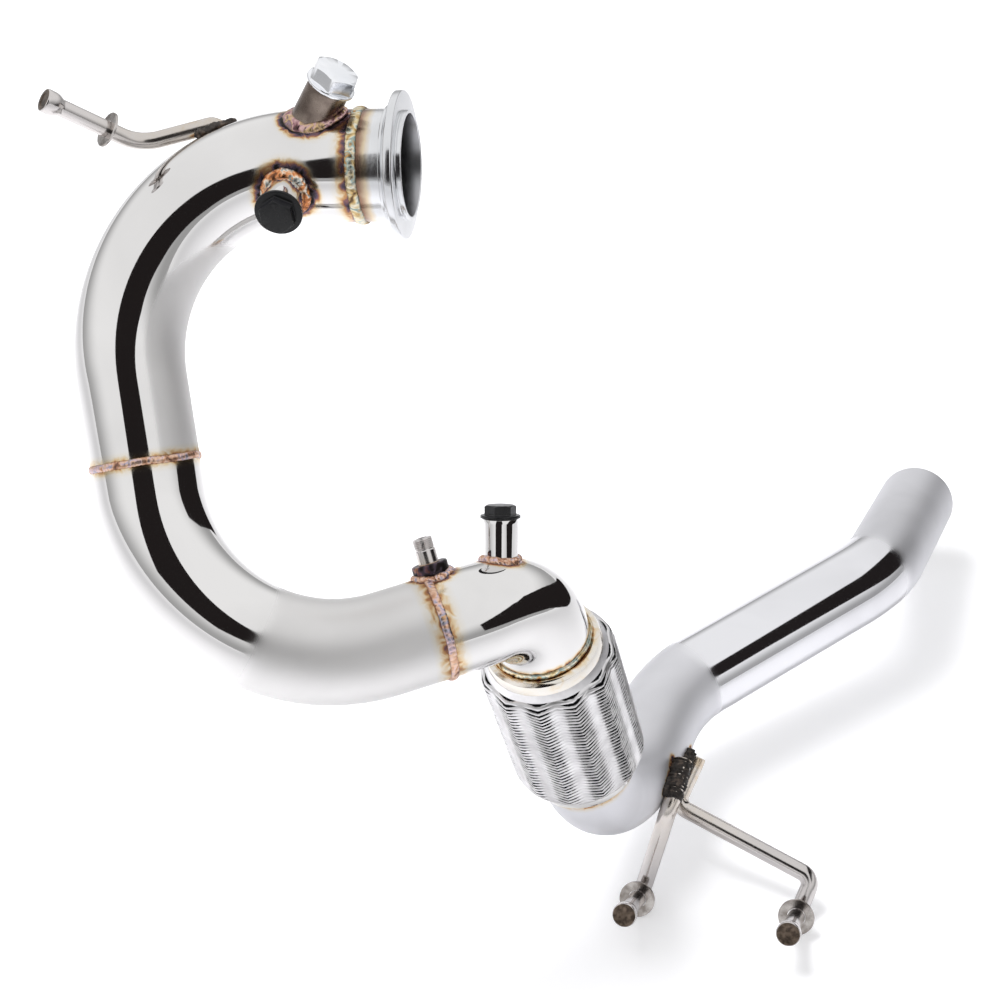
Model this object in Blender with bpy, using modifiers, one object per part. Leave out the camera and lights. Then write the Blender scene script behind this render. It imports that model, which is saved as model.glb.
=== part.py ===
"""Exhaust bypass pipe: a polished stainless downpipe with a V-band inlet, two large bends, a tight elbow,
a braided flexible section, a long outlet with an open tail, three plugged sensor bungs, a pressure
nipple and two welded rod hangers.

Metres, +Z up. The origin is the centre of the inlet flange's sealing lip, and +X leaves the flange.
The tube is described the way a tube bender works: straights and bends in order from the flange, each
bend with its centreline radius, its angle and its roll about the tube since the bend before. A place on
the tube is a station, the distance along the centreline from the flange, and a clock angle round it.
"""
import math

import bmesh
import bpy
from mathutils import Matrix, Quaternion, Vector
from mathutils.bvhtree import BVHTree

MM = 0.001
GAP = 0.3 * MM

# Tube stock
TUBE_RADIUS = 31.75 * MM
TUBE_WALL = 1.6 * MM
TUBE_SIDES = 22
BEND_STEP = math.radians(14.0)

# Route from the inlet weld: lengths, and bends as radius, angle and roll in degrees
SPIGOT_END = 28.3 * MM
UPPER_LEAD = 32.7 * MM
UPPER_BEND = (105.6 * MM, 99.38, 34.07)
UPPER_TAIL = 48.6 * MM
LOWER_LEAD = 20.4 * MM
LOWER_BEND = (108.7 * MM, 97.53, -20.51)
LOWER_TAIL = 33.1 * MM
ELBOW_LEAD = 2.0 * MM
ELBOW_FIRST_BEND = (79.9 * MM, 22.32, -96.36)
ELBOW_MIDDLE = 2.5 * MM
ELBOW_SECOND_BEND = (45.0 * MM, 65.04, -47.13)
ELBOW_TAIL = 11.0 * MM
FLEX_LENGTH = 136.1 * MM
OUTLET_LEAD = 4.0 * MM
OUTLET_FIRST_BEND = (86.7 * MM, 93.85, 149.55)
OUTLET_BETWEEN = 4.9 * MM
OUTLET_SECOND_BEND = (101.6 * MM, 34.0, 115.99)
OUTLET_MIDDLE = 148.8 * MM
OUTLET_THIRD_BEND = (102.1 * MM, 37.79, 123.82)
OUTLET_TAIL = 132.3 * MM

# Inlet flange, depths behind the lip's front
LIP_BORE = 28.9 * MM
LIP_WALL = 2.0 * MM
LIP_HEIGHT = 3.1 * MM
LIP_CHAMFER = 0.4 * MM
LIP_FILLET = 1.0 * MM
BORE_STEP = 2.0 * MM
BORE_TAPER = 4.0 * MM
RIM_RADIUS = 41.9 * MM
RIM_THICKNESS = 4.6 * MM
RIM_ROUND = 0.9 * MM
CONE_DEPTH = 2.6 * MM
HUB_WALL = 1.9 * MM
HUB_LENGTH = 1.8 * MM
HUB_ROUND = 0.6 * MM
FLANGE_SIDES = 28

# Weld beads
BEAD_HEIGHT = 1.5 * MM
BEAD_RIPPLE = 0.25 * MM
BEAD_RISE = 0.15 * MM
BEAD_SECTIONS = 24
BEAD_SHOULDER = (0.62, 0.75)
INLET_BEAD_WIDTH = 6.4 * MM
MID_BEAD_WIDTH = 4.4 * MM
ELBOW_BEAD_WIDTH = 5.2 * MM
FLEX_BEAD_WIDTH = 4.2 * MM
FOOT_BEAD_WIDTH = 2.4 * MM
FOOT_BEAD_HEIGHT = 3.0 * MM
FOOT_BEAD_SHOULDER = 0.62

# Flexible section
COLLAR_LENGTH = 10.8 * MM
COLLAR_WALL = 1.6 * MM
COLLAR_ROUND = 0.4 * MM
COLLAR_NECK = 2.4 * MM
COLLAR_LIP = 2.3 * MM
COLLAR_LIP_WALL = 1.4 * MM
COLLAR_SIDES = 24
TUBE_INSERT = 6.0 * MM
CUFF_WALL = 0.9 * MM
BELLOWS_RADIUS = 42.5 * MM
BELLOWS_LEAD = 21.8 * MM
BELLOWS_COUNT = 5
BELLOWS_SIDES = 16
BRAID_WALL = 1.6 * MM
BRAID_RELIEF = 0.8 * MM
BRAID_END_WALL = 1.0 * MM
BRAID_SHOULDER = 10.0 * MM
BRAID_CHEVRONS = 12
BRAID_RIDGES = 15
CHEVRON_RISE = 2.7 * MM

# Sensor bungs and their plugs: run past the spigot's end or the elbow's joint, heights above the tube
BUNG_BORE = 9.2 * MM
BUNG_SIDES = 16
BUNG_CHAMFER = 0.6 * MM
PLUG_SHANK_PLAY = 0.2 * MM
PLUG_SHANK_LENGTH = 13.0 * MM
PLUG_FLANGE_HEIGHT = 2.0 * MM
PLUG_FLANGE_ROUND = 0.5 * MM
PLUG_CHAMFER = 1.0 * MM
FRONT_BUNG = {"run": 43.8 * MM, "clock": 144.8, "lean": -37.3, "radius": 12.1 * MM, "height": 26.4 * MM}
SIDE_BUNG = {"run": 38.7 * MM, "clock": 54.0, "lean": 0.8, "radius": 11.5 * MM, "height": 18.3 * MM}
REAR_BUNG = {"run": 43.2 * MM, "clock": 155.4, "lean": 0.2, "radius": 10.8 * MM, "height": 24.0 * MM}
FRONT_PLUG = {"flange": 13.3 * MM, "flats": 24.0 * MM, "head": 8.5 * MM}
SIDE_PLUG = {"flange": 13.5 * MM, "flats": 18.0 * MM, "head": 6.0 * MM}
REAR_PLUG = {"flange": 12.3 * MM, "flats": 17.0 * MM, "head": 6.0 * MM}

# Pressure nipple: run past the elbow's joint, clock and lean, then its sizes
NIPPLE_RUN = 5.7 * MM
NIPPLE_TURN = (99.0, -0.9)
NIPPLE_BOSS_RADIUS = 11.0 * MM
NIPPLE_BOSS_HEIGHT = 7.2 * MM
NIPPLE_BOSS_CHAMFER = 1.0 * MM
NIPPLE_RADIUS = 6.3 * MM
NIPPLE_LENGTH = 15.8 * MM
NIPPLE_BORE = 3.2 * MM
NIPPLE_THREAD_DEPTH = 0.5 * MM
NIPPLE_THREAD_TURNS = 5
NIPPLE_THREAD_LENGTH = 5.5 * MM
NIPPLE_THREAD_RUNOUT = 1.0 * MM
NIPPLE_SIDES = 12

# Hangers. A seat is a run past the spigot's end or the flexible section, and a clock angle. A place
# near it is given as three lengths: out from the tube's surface, along the tube and across it.
FRONT_ROD_RADIUS = 4.9 * MM
REAR_ROD_RADIUS = 6.25 * MM
ROD_SIDES = 10
ROD_BEND_STEP = math.radians(22.0)
HEAD_FLARE = 1.4
HEAD_LENGTH = 11.0 * MM
HEAD_CHAMFER = 1.0 * MM
WASHER_THICKNESS = 1.6 * MM
WASHER_SIDES = 16
FRONT_SEAT = (73.7 * MM, 183.4)
FRONT_COPE = 0.5 * MM
FRONT_FOOT = (-3.0 * MM, -4.0 * MM, -0.5 * MM)
FRONT_KNEE = (FRONT_ROD_RADIUS - FRONT_COPE, 3.0 * MM, -0.5 * MM)
FRONT_BEND = (9.0 * MM, 45.7 * MM, -7.9 * MM)
FRONT_FILLETS = (5.5 * MM, 26.0 * MM)
FRONT_PEG_DIRECTION = (0.498, 0.488, -0.717)
FRONT_PEG_LENGTH = 62.0 * MM
FRONT_WASHER_FROM_BEND = 20.9 * MM
FRONT_WASHER_RADIUS = 10.4 * MM
REAR_SEAT = (119.0 * MM, 110.0)
REAR_LIFT = REAR_ROD_RADIUS + GAP
REAR_A_TOP = (118.0 * MM, 73.0)
REAR_A_TOUCH = (88.7 * MM, 104.3)
REAR_A_BEND = (10.8 * MM, -55.2 * MM, 66.8 * MM)
REAR_A_FILLETS = (20.0 * MM, 9.0 * MM)
REAR_B_TOP = (140.0 * MM, 102.0)
REAR_B_TURN = (6.0 * MM, -3.7 * MM, 20.2 * MM)
REAR_B_CORNER = (116.3 * MM, -10.4 * MM, 17.4 * MM)
REAR_B_BEND = (117.7 * MM, -26.5 * MM, 38.8 * MM)
REAR_B_FILLETS = (9.0 * MM, 9.0 * MM, 9.0 * MM)
REAR_PEG_DIRECTION = (-0.017, -0.840, -0.542)
REAR_PEG_LENGTH = 60.4 * MM
REAR_WASHER_FROM_BEND = 14.8 * MM
REAR_WASHER_RADIUS = 13.0 * MM
FRONT_SEAT_REACH = 45.0 * MM
REAR_SEAT_REACH = 70.0 * MM

# Hanger welds: the front one runs round the rod's foot, the rear ones follow (run, clock) places
FRONT_WELD_RADIUS = 2.4 * MM
FRONT_WELD_LENGTH = 14.0 * MM
FRONT_WELD_END = 9.0 * MM
REAR_WELD_RADIUS = 3.3 * MM
REAR_WELD_A = ((88.0 * MM, 91.0), (101.0 * MM, 77.0), (115.0 * MM, 65.0))
REAR_WELD_B = ((97.0 * MM, 113.0), (117.0 * MM, 93.0), (131.0 * MM, 91.0), (141.0 * MM, 93.0))
WELD_SIDES = 8

# Colours
STEEL = (0.72, 0.72, 0.73)
BRUSHED = (0.55, 0.53, 0.52)
WELD = (0.46, 0.30, 0.20)
SOOT = (0.06, 0.055, 0.05)
CHROME = (0.85, 0.86, 0.88)
BLACK_PLUG = (0.02, 0.02, 0.022)


def clear_scene():
    for obj in list(bpy.data.objects):
        bpy.data.objects.remove(obj, do_unlink=True)


def new_collection(name):
    collection = bpy.data.collections.new(name)
    bpy.context.scene.collection.children.link(collection)
    return collection


def steel_material(name, colour, roughness, metallic=1.0):
    material = bpy.data.materials.new(name)
    material.use_nodes = True
    shader = material.node_tree.nodes["Principled BSDF"]
    shader.inputs["Base Color"].default_value = (*colour, 1.0)
    shader.inputs["Roughness"].default_value = roughness
    shader.inputs["Metallic"].default_value = metallic
    return material


def finish_part(obj, colour, roughness, metallic=1.0):
    """Files an object as a piece of the pipe, with its own material."""
    PARTS.objects.link(obj)
    obj.data.materials.append(steel_material(obj.name, colour, roughness, metallic))
    return obj


def finish_cutter(obj):
    CUTTERS.objects.link(obj)
    obj.hide_render = True
    obj.display_type = "WIRE"
    return obj


def clear_bore(radius, sides):
    """The corner radius of a bore with flat sides that clears a round of the given radius."""
    return (radius + GAP) / math.cos(math.pi / sides)


class Route:
    """The tube's centreline, walked from the flange as straights and bends."""

    def __init__(self, heading, side):
        self.point = Vector((0.0, 0.0, 0.0))
        self.heading = heading
        self.side = side
        self.length = 0.0
        self.legs = []

    def straight(self, length):
        self.legs.append((self.length, length, self.point, self.heading, self.side, None))
        self.point = self.point + self.heading * length
        self.length += length

    def bend(self, bend):
        radius, angle, roll = bend[0], math.radians(bend[1]), math.radians(bend[2])
        self.side = Quaternion(self.heading, roll) @ self.side
        self.legs.append((self.length, radius * angle, self.point, self.heading, self.side, radius))
        self.point, self.heading, self.side = self.on_leg(self.legs[-1], radius * angle)
        self.length += radius * angle

    @staticmethod
    def on_leg(leg, run):
        _, _, point, heading, side, radius = leg
        if radius is None:
            return point + heading * run, heading, side
        turn = Quaternion(heading.cross(side), run / radius)
        centre = point + side * radius
        turned_side = turn @ side
        return centre - turned_side * radius, turn @ heading, turned_side

    def frame(self, station):
        """Centre, heading and side vector at a station."""
        leg = self.legs[0]
        for candidate in self.legs:
            if candidate[0] <= station:
                leg = candidate
        return self.on_leg(leg, station - leg[0])

    def rings(self, start, end):
        """Stations between two ends where the tube needs a ring: every joint, and steps round a bend."""
        stations = [start]
        for leg_start, leg_length, _, _, _, radius in self.legs:
            steps = 1 if radius is None else max(1, math.ceil(leg_length / radius / BEND_STEP))
            for step in range(steps + 1):
                station = leg_start + leg_length * step / steps
                if stations[-1] + 0.5 * MM < station < end - 0.5 * MM:
                    stations.append(station)
        return stations + [end]

    def clock_direction(self, station, clock):
        _, heading, side = self.frame(station)
        angle = math.radians(clock)
        return side * math.cos(angle) + heading.cross(side) * math.sin(angle)

    def on_tube(self, station, clock, height):
        """A point at a height above the tube's surface."""
        return self.frame(station)[0] + self.clock_direction(station, clock) * (TUBE_RADIUS + height)


def walk_route():
    route = Route(Vector((-1.0, 0.0, 0.0)), Vector((0.0, 0.0, -1.0)))
    route.straight(SPIGOT_END + UPPER_LEAD)
    route.bend(UPPER_BEND)
    route.straight(UPPER_TAIL + LOWER_LEAD)
    route.bend(LOWER_BEND)
    route.straight(LOWER_TAIL + ELBOW_LEAD)
    route.bend(ELBOW_FIRST_BEND)
    route.straight(ELBOW_MIDDLE)
    route.bend(ELBOW_SECOND_BEND)
    route.straight(ELBOW_TAIL + FLEX_LENGTH + OUTLET_LEAD)
    route.bend(OUTLET_FIRST_BEND)
    route.straight(OUTLET_BETWEEN)
    route.bend(OUTLET_SECOND_BEND)
    route.straight(OUTLET_MIDDLE)
    route.bend(OUTLET_THIRD_BEND)
    route.straight(OUTLET_TAIL)
    return route


def arc_length(bend):
    return bend[0] * math.radians(bend[1])


def frame_matrix(origin, axis, side):
    """An object's place with its local Z along an axis."""
    x_axis = (side - axis * side.dot(axis)).normalized()
    rotation = Matrix((x_axis, axis.cross(x_axis), axis)).transposed()
    return Matrix.Translation(origin) @ rotation.to_4x4()


def place_at(obj, station, reverse=False):
    """Puts a turned piece on the centreline, its local Z down the route, or back up it."""
    point, heading, side = ROUTE.frame(station)
    obj.matrix_world = frame_matrix(point, -heading if reverse else heading, side)
    return obj


def curve_mesh(name, points, radius, sides, capped, scales=None):
    """A round bar or an open tube surface along points, as a mesh."""
    curve = bpy.data.curves.new(name, "CURVE")
    curve.dimensions = "3D"
    curve.bevel_depth = radius
    curve.bevel_resolution = (sides - 4) // 2
    curve.use_fill_caps = capped
    spline = curve.splines.new("POLY")
    spline.points.add(len(points) - 1)
    for index, point in enumerate(points):
        spline.points[index].co = (*point, 1.0)
        spline.points[index].radius = scales[index] if scales else 1.0
    holder = bpy.data.objects.new(name + "_curve", curve)
    bpy.context.scene.collection.objects.link(holder)
    graph = bpy.context.evaluated_depsgraph_get()
    mesh = bpy.data.meshes.new_from_object(holder.evaluated_get(graph))
    bpy.data.objects.remove(holder, do_unlink=True)
    bpy.data.curves.remove(curve)
    mesh.name = name
    body = bmesh.new()
    body.from_mesh(mesh)
    bmesh.ops.remove_doubles(body, verts=body.verts, dist=0.001 * MM)
    bmesh.ops.recalc_face_normals(body, faces=body.faces)
    face = body.faces[0]
    if not capped and (face.calc_center_median() - Vector(points[0])).dot(face.normal) < 0.0:
        bmesh.ops.reverse_faces(body, faces=body.faces)
    body.to_mesh(mesh)
    body.free()
    mesh.materials.clear()
    mesh.shade_smooth()
    return mesh


def loft_object(name, rings, wrap=True):
    """A closed skin over rings of points. It runs round to the first ring, or is capped at both ends."""
    count = len(rings[0])
    body = bmesh.new()
    rows = [[body.verts.new(point) for point in ring] for ring in rings]
    pairs = list(zip(rows, rows[1:]))
    if wrap:
        pairs.append((rows[-1], rows[0]))
    else:
        body.faces.new(rows[0])
        body.faces.new(rows[-1])
    for near, far in pairs:
        for index in range(count):
            following = (index + 1) % count
            body.faces.new((near[index], near[following], far[following], far[index]))
    bmesh.ops.recalc_face_normals(body, faces=body.faces)
    mesh = bpy.data.meshes.new(name)
    body.to_mesh(mesh)
    body.free()
    mesh.shade_smooth()
    mesh.set_sharp_from_angle(angle=math.radians(40))
    return bpy.data.objects.new(name, mesh)


def turned_object(name, profile, sides, closed=True):
    """A profile of (height, radius) points turned about local Z. Its outer side runs from top to bottom."""
    mesh = bpy.data.meshes.new(name)
    count = len(profile)
    edges = [(index, index + 1) for index in range(count - 1)]
    if closed:
        edges.append((count - 1, 0))
    mesh.from_pydata([(radius, 0.0, height) for height, radius in profile], edges, [])
    obj = bpy.data.objects.new(name, mesh)
    screw = obj.modifiers.new("Turn", "SCREW")
    screw.axis = "Z"
    screw.angle = math.tau
    screw.steps = sides
    screw.render_steps = sides
    screw.use_merge_vertices = True
    screw.merge_threshold = 0.00001
    screw.use_smooth_shade = True
    return obj


def add_boolean(obj, cutter, operation="DIFFERENCE"):
    modifier = obj.modifiers.new(cutter.name, "BOOLEAN")
    modifier.operation = operation
    modifier.solver = "EXACT"
    modifier.object = cutter


def add_cylinder_cutter(name, radius, low, high, matrix, sides):
    body = bmesh.new()
    place = Matrix.Translation((0.0, 0.0, (low + high) / 2))
    bmesh.ops.create_cone(body, cap_ends=True, segments=sides, radius1=radius, radius2=radius,
                          depth=high - low, matrix=place)
    mesh = bpy.data.meshes.new(name)
    body.to_mesh(mesh)
    body.free()
    cutter = bpy.data.objects.new(name, mesh)
    cutter.matrix_world = matrix
    return finish_cutter(cutter)


# Tubes

def route_points(start, end):
    return [ROUTE.frame(station)[0] for station in ROUTE.rings(start, end)]


def add_tube(name, start, end):
    """A length of bent tube, open at both ends."""
    mesh = curve_mesh(name, route_points(start, end), TUBE_RADIUS, TUBE_SIDES, capped=False)
    obj = bpy.data.objects.new(name, mesh)
    wall = obj.modifiers.new("Wall", "SOLIDIFY")
    wall.thickness = TUBE_WALL
    wall.offset = -1.0
    wall.use_even_offset = True
    return finish_part(obj, STEEL, 0.12)


def sleeve_mesh(name, start, end, capped):
    """The tube's outer surface with the clearance that welded pieces keep."""
    radius = clear_bore(TUBE_RADIUS, TUBE_SIDES)
    return curve_mesh(name, route_points(start, end), radius, TUBE_SIDES, capped)


def add_sleeve_cutter(name, start, end):
    return finish_cutter(bpy.data.objects.new(name, sleeve_mesh(name, start, end, capped=True)))


def add_inlet_flange():
    """V-band flange turned in one piece with its spigot."""
    back = LIP_HEIGHT + RIM_THICKNESS
    cone_end = back + CONE_DEPTH
    hub_end = cone_end + HUB_LENGTH
    end = SPIGOT_END - GAP / 2
    bore = TUBE_RADIUS - TUBE_WALL
    lip = LIP_BORE + LIP_WALL
    hub = TUBE_RADIUS + HUB_WALL
    outer = [(0.0, lip - LIP_CHAMFER), (-LIP_CHAMFER, lip), (-LIP_HEIGHT + LIP_FILLET / 3, lip),
             (-LIP_HEIGHT, lip + LIP_FILLET), (-LIP_HEIGHT, RIM_RADIUS - RIM_ROUND),
             (-LIP_HEIGHT - RIM_ROUND, RIM_RADIUS), (-back + RIM_ROUND, RIM_RADIUS),
             (-back, RIM_RADIUS - RIM_ROUND), (-cone_end, hub + HUB_ROUND), (-hub_end, hub),
             (-hub_end - HUB_ROUND, TUBE_RADIUS), (-end, TUBE_RADIUS)]
    inner = [(-end, bore), (-hub_end - BORE_STEP - BORE_TAPER, bore), (-hub_end - BORE_STEP, LIP_BORE),
             (-LIP_CHAMFER, LIP_BORE), (0.0, LIP_BORE + LIP_CHAMFER)]
    flange = turned_object("inlet_flange", outer + inner, FLANGE_SIDES)
    flange.matrix_world = frame_matrix(Vector((0.0, 0.0, 0.0)), Vector((1.0, 0.0, 0.0)), Vector((0.0, 0.0, 1.0)))
    return finish_part(flange, STEEL, 0.2)


# Weld beads

def bead_section(point, radial, along, inner, width, height):
    """Five points across a bead: its two feet, its crown and the shoulders between them."""
    half = width / 2
    share, level = BEAD_SHOULDER
    shoulder = inner + BEAD_RISE + height * level
    shape = ((-half, inner), (-half * share, shoulder), (0.0, inner + BEAD_RISE + height),
             (half * share, shoulder), (half, inner))
    return [point + along * run + radial * radius for run, radius in shape]


def add_ring_bead(name, station, width, fitting=None):
    """A rippled bead round the tube. It stops on both sides of a fitting that stands in its way."""
    inner = clear_bore(TUBE_RADIUS, BEAD_SECTIONS)
    point, heading, side = ROUTE.frame(station)
    count, start, sweep = BEAD_SECTIONS, 0.0, math.tau
    if fitting:
        takeoff, radius = fitting
        side = (takeoff.axis - heading * takeoff.axis.dot(heading)).normalized()
        start = math.asin((radius + GAP * 2) / inner)
        sweep = math.tau - 2 * start
        count = math.ceil(BEAD_SECTIONS * sweep / math.tau)
    sections = []
    for index in range(count + 1 if fitting else count):
        angle = start + sweep * index / count
        swell = BEAD_RIPPLE * (1 if index % 2 else -1)
        radial = side * math.cos(angle) + heading.cross(side) * math.sin(angle)
        height = BEAD_HEIGHT + swell
        sections.append(bead_section(point + heading * swell, radial, heading, inner, width, height))
    return finish_part(loft_object(name, sections, wrap=not fitting), WELD, 0.35)


class Takeoff:
    """A straight axis that leaves the tube, for a bung or a nipple, and the surface it stands on."""

    def __init__(self, name, station, clock, lean):
        radial = ROUTE.clock_direction(station, clock)
        self.name = name
        self.origin, heading, _ = ROUTE.frame(station)
        angle = math.radians(lean)
        self.axis = radial * math.cos(angle) + heading * math.sin(angle)
        self.matrix = frame_matrix(self.origin, self.axis, heading)
        reach = 3.0 * TUBE_RADIUS
        sleeve = sleeve_mesh(name + "_surface", max(station - reach, SPIGOT_END), station + reach, capped=False)
        self.surface = BVHTree.FromPolygons([v.co.copy() for v in sleeve.vertices],
                                            [tuple(p.vertices) for p in sleeve.polygons])
        bpy.data.meshes.remove(sleeve)

    def point(self, radius, angle, height):
        local = Vector((radius * math.cos(angle), radius * math.sin(angle), height))
        return self.matrix @ local

    def foot(self, radius, angle):
        """Height above the centreline at which a ring of this radius meets the tube."""
        start = self.point(radius, angle, 3.0 * TUBE_RADIUS)
        hit = self.surface.ray_cast(start, -self.axis)[0]
        return (hit - self.origin).dot(self.axis)

    def ring(self, radius, height, sides):
        return [self.point(radius, math.tau * k / sides, height) for k in range(sides)]

    def foot_ring(self, radius, lift, sides):
        """A ring that follows the tube's surface at a lift above it."""
        points = []
        for k in range(sides):
            angle = math.tau * k / sides
            points.append(self.point(radius, angle, self.foot(radius, angle) + lift))
        return points

    def bore_wall(self, tube, radius, sides):
        """Drills the tube's wall under the fitting."""
        cutter = add_cylinder_cutter(self.name + "_drill", radius, TUBE_RADIUS / 2, 1.6 * TUBE_RADIUS,
                                     self.matrix, sides)
        add_boolean(tube, cutter)


def add_foot_bead(takeoff, radius, sides):
    """A rippled fillet between a round fitting and the tube."""
    inner = radius + GAP / math.cos(math.pi / sides)
    rings = [takeoff.foot_ring(inner, 0.0, sides), takeoff.foot_ring(inner, FOOT_BEAD_HEIGHT, sides),
             takeoff.foot_ring(inner + FOOT_BEAD_WIDTH * FOOT_BEAD_SHOULDER, FOOT_BEAD_HEIGHT * FOOT_BEAD_SHOULDER,
                               sides),
             takeoff.foot_ring(inner + FOOT_BEAD_WIDTH, 0.0, sides)]
    for index in range(1, sides, 2):
        rings[1][index] = rings[1][index] + takeoff.axis * BEAD_RIPPLE
        rings[2][index] = rings[2][index] + takeoff.axis * BEAD_RIPPLE * 2
    return finish_part(loft_object(takeoff.name + "_weld", rings), WELD, 0.35)


def add_bung(name, tube, anchor, bung):
    """A drilled bung with its foot shaped to the tube, and the bead round it."""
    takeoff = Takeoff(name, anchor + bung["run"], bung["clock"], bung["lean"])
    radius = bung["radius"]
    top = TUBE_RADIUS + bung["height"]
    rings = [takeoff.ring(radius - BUNG_CHAMFER, top, BUNG_SIDES),
             takeoff.ring(radius, top - BUNG_CHAMFER, BUNG_SIDES),
             takeoff.foot_ring(radius, 0.0, BUNG_SIDES), takeoff.foot_ring(BUNG_BORE, 0.0, BUNG_SIDES),
             takeoff.ring(BUNG_BORE, top, BUNG_SIDES)]
    finish_part(loft_object(name, rings), STEEL, 0.25)
    takeoff.bore_wall(tube, BUNG_BORE, BUNG_SIDES)
    add_foot_bead(takeoff, radius, BUNG_SIDES)
    return takeoff


def add_plug(name, takeoff, bung, plug_size, colour, roughness, metallic):
    """A flanged hexagon plug: a chamfered head, a round flange and a shank in the bung's bore."""
    flange = plug_size["flange"]
    inset = PLUG_FLANGE_ROUND
    seat = TUBE_RADIUS + bung["height"] + GAP
    shank_end = seat - PLUG_SHANK_LENGTH
    flange_top = seat + PLUG_FLANGE_HEIGHT
    head_top = flange_top + plug_size["head"]
    across = plug_size["flats"] / 2
    corner = across / math.cos(math.pi / 6)
    blank_radius = clear_bore(corner, BUNG_SIDES)
    shank = BUNG_BORE - GAP - PLUG_SHANK_PLAY
    stem = turned_object(name + "_stem", [
        (flange_top, 0.0), (flange_top, flange - inset), (flange_top - inset, flange), (seat + inset, flange),
        (seat, flange - inset), (seat, shank), (shank_end, shank), (shank_end, 0.0)], BUNG_SIDES, closed=False)
    stem.matrix_world = takeoff.matrix
    finish_cutter(stem)
    blank = turned_object(name + "_blank", [
        (head_top, 0.0), (head_top, across), (head_top - PLUG_CHAMFER, blank_radius),
        (seat, blank_radius), (seat, 0.0)], BUNG_SIDES, closed=False)
    blank.matrix_world = takeoff.matrix
    finish_cutter(blank)
    body = bmesh.new()
    low = flange_top - PLUG_FLANGE_HEIGHT / 2
    place = Matrix.Translation((0.0, 0.0, (low + head_top) / 2))
    bmesh.ops.create_cone(body, cap_ends=True, segments=6, radius1=corner, radius2=corner,
                          depth=head_top - low, matrix=place)
    mesh = bpy.data.meshes.new(name)
    body.to_mesh(mesh)
    body.free()
    plug = bpy.data.objects.new(name, mesh)
    plug.matrix_world = takeoff.matrix
    add_boolean(plug, blank, "INTERSECT")
    add_boolean(plug, stem, "UNION")
    return finish_part(plug, colour, roughness, metallic)


def add_nipple(tube):
    """A turned pressure take-off: a boss shaped to the tube and a threaded pipe with an open bore."""
    takeoff = Takeoff("pressure_nipple", ELBOW_JOINT + NIPPLE_RUN, *NIPPLE_TURN)
    sides = NIPPLE_SIDES
    pitch = NIPPLE_THREAD_LENGTH / NIPPLE_THREAD_TURNS
    root = NIPPLE_RADIUS - NIPPLE_THREAD_DEPTH
    boss_top = TUBE_RADIUS + NIPPLE_BOSS_HEIGHT
    top = boss_top + NIPPLE_LENGTH
    rings = [takeoff.ring(root, top, sides)]
    for turn in range(NIPPLE_THREAD_TURNS):
        crest = top - pitch * (turn + 0.5)
        rings.append(takeoff.ring(NIPPLE_RADIUS, crest, sides))
        rings.append(takeoff.ring(root, crest - pitch / 2, sides))
    rings.append(takeoff.ring(NIPPLE_RADIUS, top - NIPPLE_THREAD_LENGTH - NIPPLE_THREAD_RUNOUT, sides))
    rings.append(takeoff.ring(NIPPLE_RADIUS, boss_top, sides))
    rings.append(takeoff.ring(NIPPLE_BOSS_RADIUS - NIPPLE_BOSS_CHAMFER, boss_top, sides))
    rings.append(takeoff.ring(NIPPLE_BOSS_RADIUS, boss_top - NIPPLE_BOSS_CHAMFER, sides))
    rings.append(takeoff.foot_ring(NIPPLE_BOSS_RADIUS, 0.0, sides))
    rings.append(takeoff.foot_ring((NIPPLE_BOSS_RADIUS + NIPPLE_BORE) / 2, 0.0, sides))
    rings.append(takeoff.foot_ring(NIPPLE_BORE, 0.0, sides))
    rings.append(takeoff.ring(NIPPLE_BORE, top, sides))
    finish_part(loft_object("pressure_nipple", rings), STEEL, 0.3)
    takeoff.bore_wall(tube, NIPPLE_BORE, sides)
    add_foot_bead(takeoff, NIPPLE_BOSS_RADIUS, sides)
    return takeoff


# Flexible section, in distances from its inlet end along its axis

def cuff_radius():
    """The outer radius of the bellows' plain cuff, which slides over the tube."""
    return clear_bore(TUBE_RADIUS, BELLOWS_SIDES) + CUFF_WALL


def braid_end_radius():
    """The inner radius of the braid's end, which lies on the cuff."""
    return clear_bore(cuff_radius(), 2 * BRAID_CHEVRONS)


def add_collar(name, station, reverse):
    """A turned collar: a lip on the tube, flaring out over the end of the braid."""
    lip_bore = clear_bore(TUBE_RADIUS, COLLAR_SIDES)
    bore = clear_bore(braid_end_radius() + BRAID_END_WALL, COLLAR_SIDES)
    radius = bore + COLLAR_WALL
    span = COLLAR_LENGTH
    outer = [(span, radius - COLLAR_ROUND), (span - COLLAR_ROUND, radius)]
    for share in (0.3, 0.5, 0.7):
        outer.append((span * (1 - share), radius - COLLAR_NECK * (1 - math.sqrt(1 - share * share))))
    outer.append((0.0, lip_bore + COLLAR_LIP_WALL))
    inner = [(0.0, lip_bore), (COLLAR_LIP, lip_bore), (COLLAR_LIP, bore), (span, bore)]
    collar = turned_object(name, outer + inner, COLLAR_SIDES)
    place_at(collar, station, reverse)
    return finish_part(collar, STEEL, 0.18)


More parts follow.
